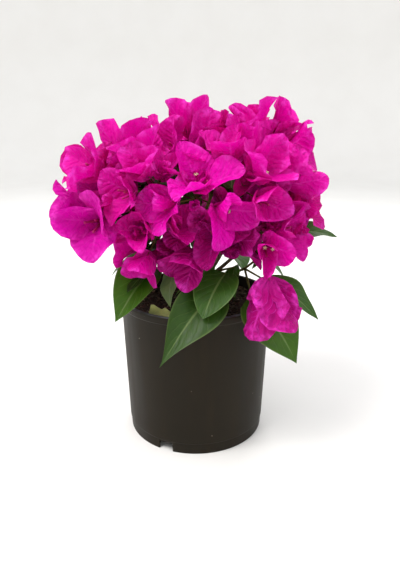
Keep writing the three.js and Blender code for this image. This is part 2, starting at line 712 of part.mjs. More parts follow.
// Makes each node's solids, fuses them and hangs them in one group. A flower that would touch another
// mass is made smaller, and is left out where it still would.
function build() {
  const { masses, low, flowers, leaves } = layCrown();
  const nodes = [];
  const node = (name, finish) => {
    const made = { name, finish, solids: [] };
    nodes.push(made);
    return made;
  };
  node('pot', PLASTIC).solids.push(potSolid());
  node('soil', POTTING_MIX).solids.push(soilSolid());
  node('trunk', BARK).solids.push(solidOf(limbGeometry(trunkLine, trunkRadius, TRUNK_SIDES, TRUNK_STEPS)));
  for (const mass of masses) {
    const bough = twig(mass.bough, BOUGH_ROOT_RADIUS, BOUGH_TIP_RADIUS, BOUGH_STEPS, BOUGH_SIDES);
    node(`bough_${mass.name}`, BARK).solids.push(bough);
  }
  const keep = keeper(nodes);
  for (const mass of masses) {
    mass.node = node(`blossom_${mass.name}`, MAGENTA);
    mass.node.solids.push(twig(mass.collar, COLLAR_RADIUS, COLLAR_RADIUS, 1));
    for (const branchlet of mass.branchlets) {
      mass.node.solids.push(twig(branchlet, BRANCHLET_RADIUS, PEDUNCLE_RADIUS, BRANCHLET_STEPS));
    }
  }
  for (const group of low) {
    group.node = node(`leaves_${group.name}`, GREEN_LEAF);
    group.node.solids.push(twig(group.stem, COLLAR_RADIUS, BRANCHLET_RADIUS, STEM_STEPS, BOUGH_SIDES));
    for (const blade of group.blades) {
      const inBlade = blade.root.clone().addScaledVector(blade.x, PETIOLE_SINK);
      const petiole = new THREE.LineCurve3(vec(group.knuckle), inBlade);
      group.node.solids.push(twig(petiole, BRANCHLET_RADIUS, PEDUNCLE_RADIUS, 1));
      keep(group.node, bladeSolid(blade, LEAF_THICKNESS));
    }
  }
  for (const { mass, blossom } of flowers) {
    FLOWER_SCALES.some((scale) => keep(mass.node, flowerSolid(blossom, scale)));
  }
  for (const { mass, blade } of leaves) keep(mass.node, bladeSolid(blade, LEAF_THICKNESS));
  const plant = new THREE.Group();
  for (const { name, finish, solids } of nodes) {
    const mesh = new THREE.Mesh(geometryOf(fused(solids)), new THREE.MeshStandardMaterial(finish));
    mesh.name = name;
    plant.add(mesh);
  }
  return plant;
}

export default build();
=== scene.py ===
"""A bougainvillea bush in its black nursery pot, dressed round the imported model.

The crown grows by the part's own rule: boughs leave the trunk in tiers, each mass has a few sprays, and
each flower and leaf is tried in seeded poses until it crosses nothing. Here the rule is carried on to
finer twigs, young flowers and waved, veined blades. Metres, +Z up, the viewer's side is -Y.
"""

import functools
import itertools
import math

import bpy
import numpy as np
from bpy.props import FloatProperty, FloatVectorProperty, PointerProperty
from bpy.types import Operator, Panel, PropertyGroup
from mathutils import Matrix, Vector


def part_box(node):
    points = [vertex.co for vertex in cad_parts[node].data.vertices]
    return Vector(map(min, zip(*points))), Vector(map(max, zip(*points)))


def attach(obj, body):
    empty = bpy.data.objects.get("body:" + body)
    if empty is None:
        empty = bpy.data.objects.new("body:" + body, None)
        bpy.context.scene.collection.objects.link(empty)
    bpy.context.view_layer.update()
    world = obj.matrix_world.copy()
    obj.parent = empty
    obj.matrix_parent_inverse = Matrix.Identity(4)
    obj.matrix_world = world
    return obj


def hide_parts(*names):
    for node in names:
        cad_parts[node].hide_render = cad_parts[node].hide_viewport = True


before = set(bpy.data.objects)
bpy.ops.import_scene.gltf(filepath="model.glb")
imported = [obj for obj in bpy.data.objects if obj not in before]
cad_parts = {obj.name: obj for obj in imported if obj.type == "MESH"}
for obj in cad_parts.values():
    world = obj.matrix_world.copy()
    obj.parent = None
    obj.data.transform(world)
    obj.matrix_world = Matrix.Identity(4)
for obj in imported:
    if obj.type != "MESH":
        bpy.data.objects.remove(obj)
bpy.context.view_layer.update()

bl_info = {
    "name": "Potted bougainvillea",
    "version": (1, 0, 0),
    "blender": (4, 5, 0),
    "location": "3D View > Sidebar > Bougainvillea",
    "description": "Builds a potted bougainvillea bush: pot, soil, limbs, flowers and leaves",
    "category": "Object",
}

# The frame gives the pot's, the soil's and the trunk's places.
POT_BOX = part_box("pot")
SOIL_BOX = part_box("soil")
TRUNK_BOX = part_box("trunk")
MASS_NODES = sorted(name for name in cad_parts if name.startswith("blossom_"))
LEAF_NODES = sorted(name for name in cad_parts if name.startswith("leaves_"))
LIMB_NODES = ["trunk"] + sorted(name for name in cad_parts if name.startswith("bough_"))

# Pot
POT_HEIGHT = POT_BOX[1].z
RIM_RADIUS = POT_BOX[1].x
TOP_RADIUS = RIM_RADIUS - 0.0016
BASE_RADIUS = RIM_RADIUS - 0.0063
WALL = 0.002
RIM_DEPTH = 0.009
RIM_ROUND = 0.0012
FOOT_HEIGHT = 0.013
FOOT_STEP = 0.0008
FOOT_DRAFT = 0.0004
EDGE_ROUND = 0.0005
NOTCH_WIDTH = 0.016
NOTCH_HEIGHT = 0.010
NOTCH_TURNS = (-115, 5, 125)
NOTCH_SOFT = 0.0005
SEAM_TURN = -103.6
SEAM_WIDTH = 0.0016
SEAM_DEPTH = 0.0005
# Paler colour of the lip: a painted highlight along the rim's top, partly wear
LIP_HIGHLIGHT_AND_WEAR = (0.085, 0.090, 0.100)
DUST = (0.30, 0.26, 0.21)
POT_COLUMNS = 240
WALL_RINGS = 14

# Soil
SOIL_TOP = SOIL_BOX[1].z
SOIL_FLOOR = SOIL_BOX[0].z
SOIL_RADIUS = SOIL_BOX[1].x
SOIL_EDGE_DROP = 0.002
SOIL_RINGS = 60
SOIL_COLUMNS = 220
SOIL_FIRST_RING = 0.02
CLOD_SIZE = 0.007
CLOD_HEIGHT = 0.0016
CRUMB_SIZE = 0.0022
CRUMB_HEIGHT = 0.0007
CLOD_SEED = 3
CRUMB_SEED = 4
CHIPS = 700
CHIP_SIZE = (0.0012, 0.0042)
CHIP_SHAPE = (1.0, 0.55, 0.32)
CHIP_JITTER = (0.55, 1)
CHIP_LEAN = 0.5
CHIP_REACH = 0.96
CHIP_SHARES = (0.55, 0.37, 0.08)
PALE_CHIP = (0.30, 0.22, 0.15)

# Trunk and boughs
CLEAR = 0.0003
TRUNK_FOOT = (0.005, 0.006, TRUNK_BOX[0].z)
TRUNK_TOP = (0.002, 0.008, 0.192)
FLARE_RADIUS = 0.009
FOOT_RADIUS = 0.0064
TRUNK_TOP_RADIUS = 0.0044
FLARE_SHARE = 0.25
TRUNK_BOW = 0.5
BOUGH_ROOT = 0.0023
BOUGH_TIP = 0.0017
BOUGH_CLIMB = 0.75
BOUGH_SWING = 0.45
BOUGH_STEPS = 6
LOW_TIER = 0.55
HIGH_TIER = 0.86
LEAF_TIER = 0.3
TRUNK_RINGS = 48
TRUNK_SIDES = 40
BOUGH_GRID = (40, 16)

# The bark's relief: long ridges and small pits
RIDGE_SIZE = 0.0024
RIDGE_STRETCH = (1, 1, 0.35)
RIDGE_SHARE = 0.7
RIDGE_SEED = 11
PIT_SIZE = 0.0011
PIT_SEED = 12
BOUGH_RELIEF = 0.5

# Twigs
COLLAR_LENGTH = 0.007
KNOT_DEPTH = 0.002
COLLAR_RADIUS = 0.0018
BRANCHLET_ROOT = 0.0015
BRANCHLET_TIP = 0.0010
BRANCHLET_STEPS = 5
BRANCHLET_SWING = 0.4
STEM_STEPS = 4
PEDUNCLE_ROOT = 0.0009
PEDUNCLE_TIP = 0.0007
PEDUNCLE_SAG = 0.08
PETIOLE_RADIUS = 0.0008
PETIOLE_TIP = 0.00064
PETIOLE_SAG = 0.1
PETIOLE_SINK = 0.001
LOW_PETIOLE_ROOT = 0.0013
LOW_PETIOLE_TIP = 0.0009
LOW_PETIOLE_SWING = 0.5

# Grids of twigs: the rings along them, and the sides round them
COLLAR_GRID = (3, 10)
BRANCHLET_GRID = (12, 8)
PEDUNCLE_GRID = (5, 6)
LOW_PETIOLE_GRID = (8, 8)
PETIOLE_GRID = (4, 5)

# Flowers: three bracts round one axis
BRACTS = 3
BRACT_LENGTH = 0.043
BRACT_SPREAD = 0.16
BRACT_WIDTH_SHARE = 0.84
BRACT_FOLD = 0.18
BRACT_LOBE = 0.06
BRACT_TAPER = 0.6
OPENING = (0.55, 1.05)
OPEN_AT_BASE = 0.8
OPEN_FURTHER = 0.4
PEDUNCLE_REACH = (0.010, 0.027)
LEAD_TILT = 0.3
SIDE_TILT = (0.75, 1.25)
TURN_PLAY = 0.5
TRIES = 40
LAST_TRY_SCALE = 0.74
SEED = 20611
LEAF_SEED = 520611
SEEDS_PER_SPRAY = 1000
SEEDS_PER_PIECE = 100
CHIP_SEED = SEED
TWIG_SEED = SEED + 1
BRACT_SEED = SEED + 2
TUBE_SEED = SEED + 3
LOW_LEAF_SEED = SEED + 4
SPRAY_LEAF_SEED = SEED + 5
YOUNG_SEED = SEED + 100
CROWN_CORE = (-0.004, 0.002, 0.238)
LIGHT = (0.0, 0.0, 0.2)

# Leaves on the sprays
LEAF_FOLD = 0.22
LEAF_LOBE = 0.04
LEAF_TAPER = 0.9
SPRAY_LEAVES = 2
FINE_LEAVES = 4
FINE_LEAF_SCALE = 0.72
SPRAY_LEAF_LENGTH = 0.044
LEAF_WIDTH_SHARE = 0.56
SPRAY_LEAF_BEND = 0.7
SPRAY_LEAF_SPREAD = (0.8, 1.2)
SPRAY_LEAF_FROM = (0.62, 0.9)
SPRAY_LEAF_TILT = (0.9, 1.6)
SPRAY_LEAF_DROP = 0.25
PETIOLE = 0.005

# Masses of blossom: the tier and bearing where the bough starts, the bough's tip, then the sprays' hubs
# and numbers of flowers. The lone hanging flower has a facing, a twist in degrees, a size and an opening
# of its own, and no leaves.
MASSES = {
    "left": (LOW_TIER, 176, (-0.047, 0.0, 0.218), (
        {"hub": (-0.089, 0.002, 0.276), "flowers": 4},
        {"hub": (-0.082, -0.036, 0.253), "flowers": 4},
        {"hub": (-0.084, 0.040, 0.254), "flowers": 3})),
    "upper_left": (HIGH_TIER, 150, (-0.034, 0.013, 0.246), (
        {"hub": (-0.072, -0.030, 0.281), "flowers": 4},
        {"hub": (-0.042, 0.004, 0.297), "flowers": 4},
        {"hub": (-0.056, 0.050, 0.294), "flowers": 4})),
    "front_middle": (HIGH_TIER, 252, (-0.010, -0.026, 0.238), (
        {"hub": (-0.036, -0.060, 0.284), "flowers": 4},
        {"hub": (0.002, -0.066, 0.276), "flowers": 4},
        {"hub": (-0.010, -0.040, 0.240), "flowers": 2})),
    "front_right": (HIGH_TIER, 300, (0.017, -0.025, 0.230), (
        {"hub": (0.042, -0.056, 0.282), "flowers": 4},
        {"hub": (0.016, -0.058, 0.238), "flowers": 4},
        {"hub": (0.038, -0.034, 0.250), "flowers": 2})),
    "top": (1, 0, (0.012, 0.018, 0.252), (
        {"hub": (-0.003, 0.010, 0.301), "flowers": 4},
        {"hub": (0.046, 0.012, 0.314), "flowers": 4},
        {"hub": (0.016, 0.058, 0.300), "flowers": 3})),
    "upper_right": (HIGH_TIER, 352, (0.042, 0.002, 0.242), (
        {"hub": (0.070, 0.0, 0.312), "flowers": 4},
        {"hub": (0.067, -0.038, 0.284), "flowers": 4},
        {"hub": (0.068, 0.046, 0.292), "flowers": 3})),
    "right": (LOW_TIER, 322, (0.043, -0.030, 0.212), (
        {"hub": (0.084, -0.028, 0.250), "flowers": 2},
        {"hub": (0.063, -0.056, 0.240), "flowers": 4},
        {"hub": (0.069, -0.089, 0.214), "flowers": 1, "facing": (0.10, -0.14, -0.98), "twist": 260,
         "size": 1.5, "opening": (0.38, 0.44)})),
    "low_left": (LOW_TIER, 234, (-0.026, -0.024, 0.208), (
        {"hub": (-0.037, -0.056, 0.241), "flowers": 5},
        {"hub": (-0.060, -0.050, 0.258), "flowers": 3})),
    "back_right": (LOW_TIER, 34, (0.038, 0.034, 0.214), (
        {"hub": (0.046, 0.062, 0.256), "flowers": 4},
        {"hub": (0.086, 0.024, 0.252), "flowers": 3})),
    "back_left": (LOW_TIER, 112, (-0.020, 0.042, 0.216), (
        {"hub": (-0.062, 0.052, 0.246), "flowers": 4},
        {"hub": (-0.024, 0.061, 0.276), "flowers": 4},
        {"hub": (0.0, 0.060, 0.240), "flowers": 3})),
}

# Low leaves: bearing and knuckle of each stem, then base, tip, width, arch, roll, tint and form of each
# leaf. A form gives the curl of the tip, and may give other values that a waved blade has.
LOW_LEAVES = (
    (278, (0.022, -0.040, 0.196), (
        ((0.030, -0.062, 0.200), (0.008, -0.098, 0.165), 0.040, 0.006, -8, "mid",
         {"curl": 0.2, "taper": 0.85}),
        ((0.020, -0.064, 0.180), (-0.034, -0.103, 0.118), 0.050, 0.012, -28, "deep",
         {"curl": 0.7, "fold": 0.4, "lean": 0.6, "sway": 0.07, "taper": 1.5, "wave": 0.003}),
        ((0.018, -0.048, 0.198), (-0.020, -0.078, 0.178), 0.038, 0.005, 30, "mid", {"curl": 0.2}),
        ((0.040, -0.050, 0.204), (0.040, -0.074, 0.178), 0.020, 0.003, 46, "mid", {"curl": 0.1}))),
    (200, (-0.032, -0.024, 0.192), (
        ((-0.046, -0.036, 0.194), (-0.080, -0.070, 0.150), 0.050, 0.009, -24, "fresh",
         {"curl": 0.7, "fold": 0.6, "sway": 0.06}),
        ((-0.020, -0.044, 0.199), (-0.026, -0.068, 0.166), 0.024, 0.004, 30, "underside", {"curl": -0.2}),
        ((-0.040, -0.040, 0.200), (-0.066, -0.066, 0.180), 0.030, 0.004, 8, "deep", {"curl": 0.1}))),
    (338, (0.052, -0.030, 0.196), (
        ((0.058, -0.055, 0.172), (0.105, -0.080, 0.114), 0.052, 0.008, 38, "fresh", {"curl": 0.2}),
        ((0.074, -0.034, 0.184), (0.124, -0.058, 0.146), 0.038, 0.008, 14, "mid", {"curl": 0.3}),
        ((0.104, -0.010, 0.232), (0.149, -0.022, 0.225), 0.026, 0.004, 20, "mid", {"curl": 0.2}))),
    (74, (0.004, 0.046, 0.194), (
        ((0.030, 0.066, 0.192), (0.062, 0.102, 0.150), 0.044, 0.009, 10, "mid", {"curl": 0.2}),
        ((0.002, 0.070, 0.190), (-0.002, 0.112, 0.136), 0.042, 0.012, -8, "fresh", {"curl": -0.3}),
        ((-0.024, 0.062, 0.194), (-0.064, 0.096, 0.156), 0.042, 0.008, 12, "deep", {"curl": 0.2}),
        ((-0.046, 0.034, 0.196), (-0.100, 0.046, 0.160), 0.040, 0.009, -10, "mid", {"curl": 0.3}),
        ((0.058, 0.034, 0.196), (0.104, 0.044, 0.158), 0.040, 0.008, -6, "fresh", {"curl": 0.2}))),
)

# A withered leaf that has dropped on the soil: the same values as a low leaf's
FALLEN_LEAF = ((-0.048, -0.058, SOIL_TOP + 0.004), (-0.014, -0.070, SOIL_TOP + 0.003), 0.016, 0.004, 24,
               "dry", {"curl": 0.8, "wave": 0.004, "waves": 2.4, "fold": 0.7, "twist": 0.5})

# The blades' shape. Shares along a blade are steps of its fine midrib.
MIDRIB_STEPS = 32
FINE_BRACT_LENGTH = (1.0, 1.1)
FINE_BRACT_WIDTH = (1.05, 1.25)
FINE_BRACT_FOLD = (0.15, 0.80)
FINE_BRACT_TAPER = (0.44, 0.66)
FINE_LEAF_TAPER = 1.15
FINE_LEAF_WIDTH = 1.10

# What curves and surfaces share: the smallest amount told from none, the share of a vector's length that
# counts as upright, the steps in which a curve's length is measured, and the rounding of a profile
FLAT = 1e-12
UPRIGHT = 0.9
CURVE_STEPS = 200
FILLET_SHARE = 0.4
FILLET_POINTS = 4

# Grids of a blade: the steps of its midrib, and the sides across it
BRACT_GRID = ((0, 1, 3, 6, 10, 15, 20, 25, 29, 31, 32), (-1, -0.7, -0.34, 0, 0.34, 0.7, 1))
LEAF_GRID = (tuple(range(0, 33, 2)), (-1, -0.82, -0.6, -0.36, -0.12, 0, 0.12, 0.36, 0.6, 0.82, 1))

# What a waved blade's form is drawn from: ranges, the spread of its twist, and values for all alike
BRACT_FORM = {
    "curl": (-1, 0.7), "wave": (0.45, 1.3), "waves": (1.0, 2.1), "ripple": (0.15, 0.45),
    "ripples": (2.6, 3.6), "twist": 0.30, "cup": (-0.5, 1.5),
    "alike": {"crease": 0.3, "quilt": 0, "veins": 9, "slant": 0.3}}
LEAF_FORM = {
    "curl": (-0.6, 0.3), "wave": (0.5, 1.4), "waves": (1.0, 2.0), "ripple": (0.0, 0.2),
    "ripples": (3.0, 4.5), "twist": 0.16, "cup": (-0.7, 0.8),
    "alike": {"crease": 0.08, "quilt": 0.0004, "veins": 7, "slant": 0.34}}
SWAY_SPREAD = 0.05
LEAN_SPREAD = 0.2
WAVE_SCALES = (0.2, 1.2)
MAP_MARGIN = 0.04

# Later flowers in the room between the others: how many are tried on each spray, and their scale
LATER = ((3, 0.8), (3, 0.6))
LATER_TRIES = 12

# Young flowers at a spray's hub
YOUNG_PER_SPRAY = 3
YOUNG_LENGTH = (0.011, 0.022)
YOUNG_OPENING = (0.25, 0.7)
YOUNG_REACH = (0.006, 0.020)
YOUNG_TILT = (0.1, 1.2)

# Tube flowers: one on each bract, a slim tube that ends in a cream star or in a bud
TUBE_SIDES = 10
TUBE_LENGTH_SHARE = 0.36
TUBE_SPLAY = 0.30
TUBE_SPLAY_SHARE = 0.35
TUBE_SHAPE = ((0.0, 0.0), (0.02, 0.0008), (0.35, 0.0013), (0.8, 0.0009), (1.0, 0.0010))
TUBE_OFFSET = 0.0012
TUBE_PLAY = (0.85, 1.15)
TUBE_SCALES = (0.4, 1.2)
SPLAY_SPREAD = 0.2
STAR_OUTER = 0.0027
STAR_INNER = 0.0014
STAR_RISE = 0.0006
STAR_THROAT = 0.0008
BUD_RADIUS = 0.0012
BUD_RISE = 0.0014
BUD_POINT = 0.0028
OPEN_SHARE = 0.08
OPEN_FROM_LENGTH = 0.03
TUBE_PINKS = ((0.42, 0.005, 0.15), (0.30, 0.02, 0.08))
STAR_CREAMS = ((0.86, 0.78, 0.56), (0.80, 0.70, 0.42))

# Finishes: what blade_veins takes, then a bump's strength and depth, a share of light let through, the
# specular level, factors on a main colour, and the scale of a bark's grain
BRACT_VEINS = {"veins": 7.0, "slant": 0.34, "thin": 0.09, "wander": 0.30}
BRACT_BUMP = (0.9, 0.0018)
BRACT_THROUGH = 0.36
BRACT_SPECULAR = 0.14
LEAF_VEINS = {"veins": 6.0, "slant": 0.40, "thin": 0.07, "wander": 0.16}
LEAF_BUMP = (0.45, 0.0008)
LEAF_THROUGH = 0.16
LEAF_SPECULAR = 0.26
LEAF_MOTTLE = (1.3, 1.25, 1.1)
LEAF_GLOW = (2.2, 2.2, 1.2)
POT_BUMP = (0.12, 0.0006)
POT_SPECULAR = 0.13
POT_FILM = (2.6, 2.3, 2.0)
MIX_BUMP = (0.9, 0.002)
MIX_ROUGHNESS = 0.92
BARK_BUMP = (0.7, 0.0006)
BARK_ROUGHNESS = 0.82
BARK_DARK = (0.4, 0.4, 0.42)
BARK_GRAIN = 260.0
TWIG_DARK = (0.55, 0.5, 0.5)
TWIG_GRAIN = 500.0
CHIP_GRAIN = 300.0
PETAL_BUMP = (0.3, 0.0003)

# Camera: fitted to the pot's rim, foot and taper in the picture
CAMERA_PLACE = (0.0048, -0.560, 0.351)
CAMERA_PITCH = 18.1
CAMERA_LENS = 32.97
SENSOR = 36.0

# Stage
FLOOR_RADIUS = 2.4
FLOOR_BEND = 0.8
WALL_HEIGHT = 2.4
FLOOR_COLUMNS = 128
FLOOR_BEND_RINGS = 16
FLOOR_HOLE = 0.001
FLOOR_OTHER = (0.70, 0.68, 0.65)
SKY_COLOUR = (0.95, 0.97, 1.0)
AIM = (0.0, 0.0, 0.2)

# Lights: name, place, size, share of the key light's power, and colour
LIGHTS = (
    ("key", (-0.9, -0.6, 1.8), 0.9, 1, (1.0, 0.985, 0.96)),
    ("fill", (1.2, -0.9, 1.0), 1.2, 0.12, (0.95, 0.97, 1.0)),
    ("back", (0.3, 1.1, 1.3), 0.8, 0.25, (1.0, 1.0, 1.0)),
)

# Tints of bracts: the share of the sprays, the factor on the main colour, and the relief of the veins
BRACT_TINTS = {
    "hot": (0.46, (1, 1, 1), 0.5),
    "rose": (0.16, (1.02, 1, 0.84), 0.9),
    "violet": (0.20, (0.84, 1, 1.0), 0.5),
    "pale": (0.12, (1.15, 1, 1.35), 0.7),
    # The deep tint also serves as painted shade on the hanging flower
    "deep": (0.06, (0.66, 1, 0.58), 1.0),
}
LEAF_TINTS = ("deep", "mid", "fresh", "underside", "dry")
SPRAY_LEAF_SHARES = (0.3, 0.45, 0.25)


# Numbers and vectors

def stream(seed):
    """Numbers from 0 to 1 that are the same for the same seed: a counter, mixed in 32 bits."""
    mask = 0xFFFFFFFF
    state = seed & mask
    while True:
        state = (state + 0x6D2B79F5) & mask
        t = ((state ^ (state >> 15)) * (state | 1)) & mask
        t ^= (t + (((t ^ (t >> 7)) * (t | 61)) & mask)) & mask
        yield ((t ^ (t >> 14)) & mask) / 2 ** 32


def between(low, high, share):
    """The value at a share of the way from low to high."""
    return low + (high - low) * share


def unit(v):
    """Vectors of length 1 that point the same way."""
    return v / np.linalg.norm(v, axis=-1, keepdims=True)


def noise(points, size, seed):
    """Smooth noise from -1 to 1: each corner of a lattice of that size has a hashed value, and a point
    takes the values of the eight corners round it, blended by smoothed shares along each axis."""
    place = np.asarray(points) / size
    cell = np.floor(place).astype(np.int64)
    share = place - cell
    share = share * share * (3 - 2 * share)
    total = np.zeros(place.shape[:-1])
    for corner in itertools.product((0, 1), repeat=3):
        at = cell + np.array(corner)
        key = at[..., 0] * 73856093 ^ at[..., 1] * 19349663 ^ at[..., 2] * 83492791 ^ seed * 2654435761
        key = (key ^ (key >> 13)) * 1274126177 & 0xFFFFFFFF
        key = (key ^ (key >> 16)) & 0xFFFF
        weight = np.prod(np.where(np.array(corner) == 1, share, 1 - share), axis=-1)
        total += weight * (key / 32767.5 - 1)
    return total


def tilted(axis, tilt, turn):
    """The axis leaned over by tilt towards a side that goes round it with turn."""
    helper = np.array([0.0, 0.0, 1.0]) if abs(axis[2]) < UPRIGHT else np.array([1.0, 0.0, 0.0])
    side = unit(np.cross(helper, axis))
    up = np.cross(axis, side)
    lean = side * math.cos(turn) + up * math.sin(turn)
    return axis * math.cos(tilt) + lean * math.sin(tilt)


# Curves: a bend is three points, the start, the pull and the end of a quadratic curve

def bent(start, end, leaving, reach):
    """A curve that leaves its start one way: the pull lies that way by reach times the span."""
    start, end = np.array(start, float), np.array(end, float)
    pull = start + np.array(leaving) * np.linalg.norm(end - start) * reach
    return np.array([start, pull, end])


def straight(start, end):
    """A curve whose pull is the middle of its span."""
    start, end = np.array(start, float), np.array(end, float)
    return np.array([start, (start + end) / 2, end])


def on_curve(start, pull, end, t):
    """The curve's point for each t: start times (1-t) squared, pull times twice t(1-t), end times t
    squared."""
    return (1 - t) ** 2 * start + 2 * t * (1 - t) * pull + t ** 2 * end


def bend_point(bend, t):
    """The points of one bend for each t."""
    return on_curve(*bend, np.asarray(t, float)[..., None])


def even_t(bend, shares):
    """The curve's own t at each share of its length."""
    steps = np.linspace(0, 1, CURVE_STEPS + 1)
    stretches = np.linalg.norm(np.diff(bend_point(bend, steps), axis=0), axis=1)
    lengths = np.concatenate([[0], np.cumsum(stretches)])
    return np.interp(np.asarray(shares) * lengths[-1], lengths, steps)


def point_on(bend, shares):
    """Points at shares of the curve's length."""
    return bend_point(bend, even_t(bend, shares))


def heading_on(bend, shares):
    """The way the curve goes there: the side from start to pull turning into that from pull to end."""
    t = np.asarray(even_t(bend, shares))[..., None]
    return unit((1 - t) * (bend[1] - bend[0]) + t * (bend[2] - bend[1]))


def stretches_of(bend, steps):
    """The straight stretches of a curve, as pairs of points."""
    points = point_on(bend, np.linspace(0, 1, steps + 1))
    return np.stack([points[:-1], points[1:]], axis=1)


# Blades: the coarse forms that the layout tests

RING_ALONG = np.array([0, 0.12, 0.42, 0.78, 1, 0.78, 0.42, 0.12])
RING_SIDE = np.array([0, 1, 1, 1, 0, -1, -1, -1])
BLADE_MIDDLE = 0.42
RING_SIZE = 8


def outline(u, taper):
    """Half width at share u: the root of u, times (1-u) to the taper, 1 at its widest."""
    widest = 0.5 / (0.5 + taper)
    return np.sqrt(u / widest) * ((1 - u) / (1 - widest)) ** taper


def stacked(blades):
    """Several blades as one, whose every field has a row for each of them."""
    return {key: np.array([blade[key] for blade in blades]) for key in blades[0]}


def blade_points(blades, u, v):
    """Points of flat-ribbed blades at share u of their length and side v: the midrib is an arc that
    starts at the angle rise and turns through bend, the sides fold up, and lobes reach back."""
    field = {key: value[:, None] for key, value in blades.items()}
    half = field["width"] / 2 * outline(u, field["taper"]) * v
    rise, bend = field["rise"], field["bend"]
    angle = rise + bend * u
    turn = np.where(np.abs(bend) < FLAT, FLAT, bend)
    along = field["length"] * (np.sin(angle) - np.sin(rise)) / turn
    up = field["length"] * (np.cos(rise) - np.cos(angle)) / turn
    back = field["lobe"] * field["length"] * v ** 2 * (1 - u) ** 4
    lift = field["fold"] * np.abs(half)
    on_x = along - back * np.cos(angle) - lift * np.sin(angle)
    on_z = up - back * np.sin(angle) + lift * np.cos(angle)
    return (field["root"] + field["x"] * on_x[..., None] + field["z"] * on_z[..., None]
            + field["y"] * half[..., None])


def coarse(blades):
    """Eight faces and sixteen edges for each blade: a ring of points round one middle point."""
    ring = blade_points(blades, RING_ALONG, RING_SIDE)
    middle = np.repeat(blade_points(blades, np.array([BLADE_MIDDLE]), 0), RING_SIZE, axis=1)
    following = np.roll(ring, -1, axis=1)
    faces = np.stack([ring, following, middle], axis=2)
    edges = np.concatenate([np.stack([ring, following], axis=2), np.stack([ring, middle], axis=2)], axis=1)
    return faces.reshape(-1, 3, 3), edges.reshape(-1, 2, 3)


def dots(a, b):
    """The dot product of each pair of rows."""
    return (a * b).sum(-1)


def pierced(edges, faces):
    """How often segments pass through triangles, from the share along each segment and the two shares
    along each triangle's sides where the segment's line meets the triangle's plane."""
    if len(edges) == 0 or len(faces) == 0:
        return 0
    start = edges[:, None, 0]
    way = edges[:, None, 1] - start
    corner = faces[None, :, 0]
    side = faces[None, :, 1] - corner
    other = faces[None, :, 2] - corner
    across = np.cross(way, other)
    volume = dots(side, across)
    known = np.abs(volume) > FLAT ** 1.5
    volume = np.where(known, volume, 1)
    offset = start - corner
    s = dots(offset, across) / volume
    turned = np.cross(offset, side)
    t = dots(way, turned) / volume
    share = dots(other, turned) / volume
    inside = (s >= 0) & (t >= 0) & (s + t <= 1) & (s <= 1)
    return int((known & inside & (share >= 0) & (share <= 1)).sum())


def meeting(shapes, low, high):
    """Those segments or triangles whose own boxes meet the box from low to high."""
    return shapes[((shapes.min(axis=1) <= high) & (shapes.max(axis=1) >= low)).all(axis=1)]


class Crown:
    """The faces and edges of what is already placed. A twig's stretches count as edges."""

    def __init__(self):
        self.faces = np.empty((0, 3, 3))
        self.edges = np.empty((0, 2, 3))

    def add_blades(self, blades):
        faces, edges = coarse(blades)
        self.faces = np.concatenate([self.faces, faces])
        self.edges = np.concatenate([self.edges, edges])

    def add_stems(self, stems):
        self.edges = np.concatenate([self.edges, stems])

    def crossings(self, blades):
        """How many times the blades cross what is placed."""
        faces, edges = coarse(blades)
        low, high = faces.min(axis=(0, 1)), faces.max(axis=(0, 1))
        return (pierced(edges, meeting(self.faces, low, high))
                + pierced(meeting(self.edges, low, high), faces))

    def pierced_by(self, stalk):
        """How many placed faces a stalk passes through."""
        return pierced(stalk[None], meeting(self.faces, stalk.min(axis=0), stalk.max(axis=0)))


# The layout, as in the part's source

def flower_blades(base, axis, twist, opening, length):
    """The three bracts of a flower that opens round its axis."""
    blades = []
    for j in range(BRACTS):
        outward = tilted(axis, math.pi / 2, twist + 2 * math.pi * j / BRACTS)
        blades.append({
            "root": base, "x": axis, "y": np.cross(axis, outward), "z": -outward, "length": length,
            "width": length * BRACT_WIDTH_SHARE, "rise": -opening * OPEN_AT_BASE,
            "bend": -opening * OPEN_FURTHER, "fold": BRACT_FOLD, "lobe": BRACT_LOBE, "taper": BRACT_TAPER})
    return stacked(blades)


def outward_of(spray):
    """Which way a spray faces: its own facing, or away from the crown's core and a little up."""
    if "facing" in spray:
        return unit(np.array(spray["facing"]))
    away = unit(np.array(spray["hub"]) - np.array(CROWN_CORE))
    return unit(away + np.array(LIGHT))


def lay_flowers(spray, number, numbers, scale, crown):
    """The flowers of one spray, each in the seeded pose that crosses least. A half-grown one, whose scale
    is less than 1, is skipped where it would cross."""
    if "facing" in spray and scale < 1:
        return []
    hub, out = np.array(spray["hub"]), outward_of(spray)
    lead = 0 if "facing" in spray else LEAD_TILT
    laid = []
    for k in numbers:
        best = None
        for attempt in range(TRIES if scale == 1 else LATER_TRIES):
            draw = stream(SEED + SEEDS_PER_SPRAY * number + SEEDS_PER_PIECE * k + attempt)
            tilt = lead * next(draw) if k == 0 else between(*SIDE_TILT, next(draw))
            turn = 2 * math.pi * (k + TURN_PLAY * next(draw)) / max(1, spray["flowers"] - 1) + number
            axis = tilted(out, tilt, turn)
            base = hub + axis * between(*PEDUNCLE_REACH, next(draw))
            shrink = between(1, LAST_TRY_SCALE, attempt / TRIES)
            length = (BRACT_LENGTH * scale * shrink * spray.get("size", 1)
                      * (1 + BRACT_SPREAD * (2 * next(draw) - 1)))
            twist = 2 * math.pi * next(draw)
            if "twist" in spray:
                twist = math.radians(spray["twist"])
            opening = between(*spray.get("opening", OPENING), next(draw))
            blades = flower_blades(base, axis, twist, opening, length)
            stalk = np.array([hub, base])
            count = crown.crossings(blades) + crown.pierced_by(stalk)
            if best is None or count < best["count"]:
                best = {"count": count, "blades": blades, "stalk": stalk, "axis": axis, "base": base,
                        "length": length, "opening": opening, "spray": number}
            if count == 0:
                break
        if scale < 1 and best["count"] > 0:
            continue
        laid.append(best)
        crown.add_blades(best["blades"])
        crown.add_stems(best["stalk"][None])
    return laid


